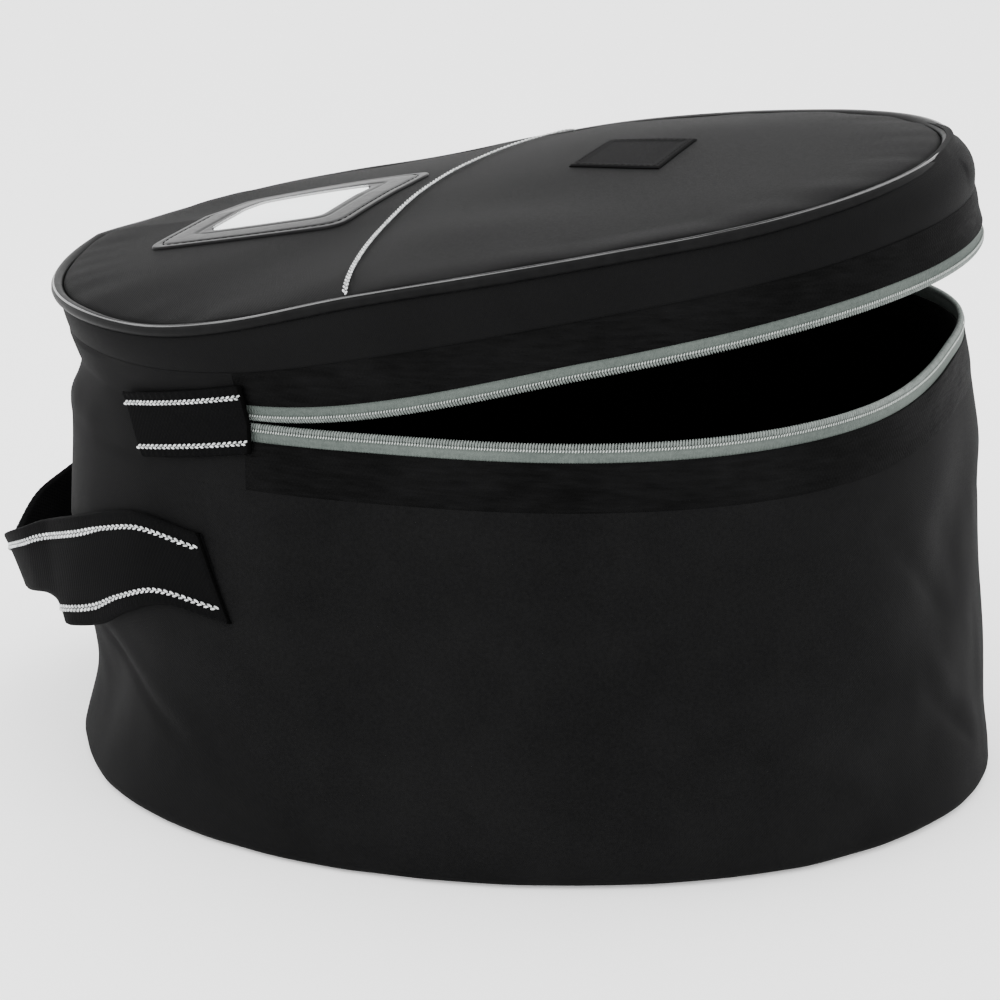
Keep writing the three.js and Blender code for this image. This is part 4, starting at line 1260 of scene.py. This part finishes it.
def strap(name, face, columns, rows, length, width, thickness):
    """Flat webbing with ribbed selvedges, from a function of shares along and across."""
    along = np.linspace(0, 1, columns + 1)[:, None]
    across = row_shares(rows, 3, 0.05)
    inset = np.minimum(across, 1 - across) * width
    roll = edge_round(inset, thickness / 2)
    ribs = 0.00012 * np.sin(along * length / 0.0017 * math.pi) * smooth_step((0.004 - inset) / 0.002)
    end_inset = np.minimum(along, 1 - along) * length
    end_roll = edge_round(end_inset, 0.0009)
    outer = face(along, across, thickness - roll + ribs - end_roll)
    inner = face(along, across, 0 * along + roll)
    return sheet(name, outer, inner, grid_uv(columns, rows, length, width))


def free_share(along):
    """How far a place along the handle lies on its free middle part, from 0 to 1."""
    return smooth_step((0.36 - np.abs(along - 0.5)) / 0.05)


def strap_stripe(name, face, across, start, end, thickness, extra=0.0):
    along = np.linspace(start, end, 400)
    points = face(along[:, None], np.array([across]), 0 * along[:, None] + thickness + 0.0002)[:, 0]
    below = face(along[:, None], np.array([across]), 0 * along[:, None])[:, 0]
    pitch = LONG_CHAIN_PITCH if extra else CHAIN_PITCH
    return chain(name, points, points - below, CHAIN_WIDTH + extra * free_share(along), pitch)


def tab_face(side):
    start = side * (SPINE_ARC - TAB_LENGTH + TAB_OVERLAP)
    end = side * (SPINE_ARC + TAB_OVERLAP)

    def face(along, across, lift):
        cut = side * TAB_SLANT * (1 - across) * (1 - along)
        angle = angle_at_arc(mix(start, end, along) + cut)
        narrow = 1 - TAB_NARROWING * (1 - along)
        rise = TAB_RISE + TAB_HEIGHT * (0.5 - (1 - across) * narrow) - TAB_DROOP * (1 - along)
        return outside_at(angle, rise, 2 * SEAM_GAP + lift)

    return face


def painted_end_shadow(name, face, along, thickness):
    """Close black stitches across a strap's end, a dark line that stands in for the shadow in the gap where
    the strap's end meets the wall: painted shadow.
    """
    across = np.linspace(0.01, 0.99, 60)
    place = np.full((1, 1), along)
    line = face(place, across, 0 * across + thickness * 0.6)[0]
    step = face(place + 0.004, across, 0 * across + thickness * 0.6)[0] - line
    up = face(place, across, 0 * across + thickness)[0] - line
    return beads(name, line, step, up, (0.0011, 0.0004, 0.0007), 6, 3)


def build_tabs():
    for name, side in (("near", -1), ("far", 1)):
        face = tab_face(side)
        tab = strap(f"{name}_tab", face, 80, 26, TAB_LENGTH, TAB_HEIGHT, TAB_THICKNESS)
        dress(tab, webbing_fabric, "webbing", f"{name}_zip_tab")
        # Dark stitch line at the tab's end: painted shadow of the gap where it meets the wall.
        dress(painted_end_shadow(f"{name}_tab_end_shadow", face, 0.992, TAB_THICKNESS), black_thread_and_painted_shadow, "webbing")
        for place, share in (("upper", 0.5 + TAB_STRIPE_SHARE), ("lower", 0.5 - TAB_STRIPE_SHARE)):
            stripe = strap_stripe(f"{name}_tab_{place}_stripe", face, share, 0.0, 0.99, TAB_THICKNESS)
            dress(stripe, cord_white, "webbing")


def handle_face(along_share, across_share, lift):
    along = 2 * along_share - 1
    columns = (read_table(HANDLE_ROUTE, column, along) for column in range(1, 7))
    out_share, height, lean_share, skew_share, broad, tuck = columns
    across = across_share - 0.5
    lean = lean_share * HANDLE_LEAN
    skew = skew_share * HANDLE_SKEW
    rise = np.sqrt((HANDLE_WIDTH * broad) ** 2 - lean ** 2 - skew ** 2)
    tucked = np.maximum(HANDLE_FOLD - across_share, 0) * rise
    tuck_angle = tuck * HANDLE_TUCK
    angle = angle_at_arc(along * HANDLE_REACH + across * skew)
    out = out_share * HANDLE_STAND_OFF + across * lean + 2 * SEAM_GAP + lift - tucked * np.sin(tuck_angle)
    up = (np.maximum(across_share, HANDLE_FOLD) - 0.5) * rise - tucked * np.cos(tuck_angle)
    return body_side(angle, height * HANDLE_HEIGHT + up, -out)


def build_handle():
    middle = handle_face(np.linspace(0, 1, 400)[:, None], np.array([0.5]), 0.0 * np.ones((400, 1)))[:, 0]
    length = path_length(middle)
    handle = strap("webbing_handle", handle_face, 320, 26, length, HANDLE_WIDTH, HANDLE_THICKNESS)
    dress(handle, webbing_fabric, "webbing", "handle")
    # Dark stitch lines at the handle's ends: painted shadow of the gaps where they meet the wall.
    for end, share in (("front", 0.002), ("back", 0.996)):
        dress(painted_end_shadow(f"handle_{end}_end_shadow", handle_face, share, HANDLE_THICKNESS), black_thread_and_painted_shadow, "webbing")
    for place, share in (("upper", 0.5 + HANDLE_STRIPE_SHARE), ("lower", 0.5 - HANDLE_STRIPE_SHARE)):
        stripe = strap_stripe(
            f"handle_{place}_stripe", handle_face, share, 0.005, 0.995, HANDLE_THICKNESS,
            STRIPE_EXTRA_WIDTH,
        )
        dress(stripe, cord_white, "webbing")


def finish_slider():
    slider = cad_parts["zip_slider"]
    slider.data.materials.clear()
    slider.data.materials.append(slider_metal)


set_camera()
set_studio()
build_wall()
build_base()
build_rim()
build_spine()
build_lid_top()
build_piping()
build_lid_side()
build_trim()
build_window()
build_label()
build_tabs()
build_handle()
finish_slider()
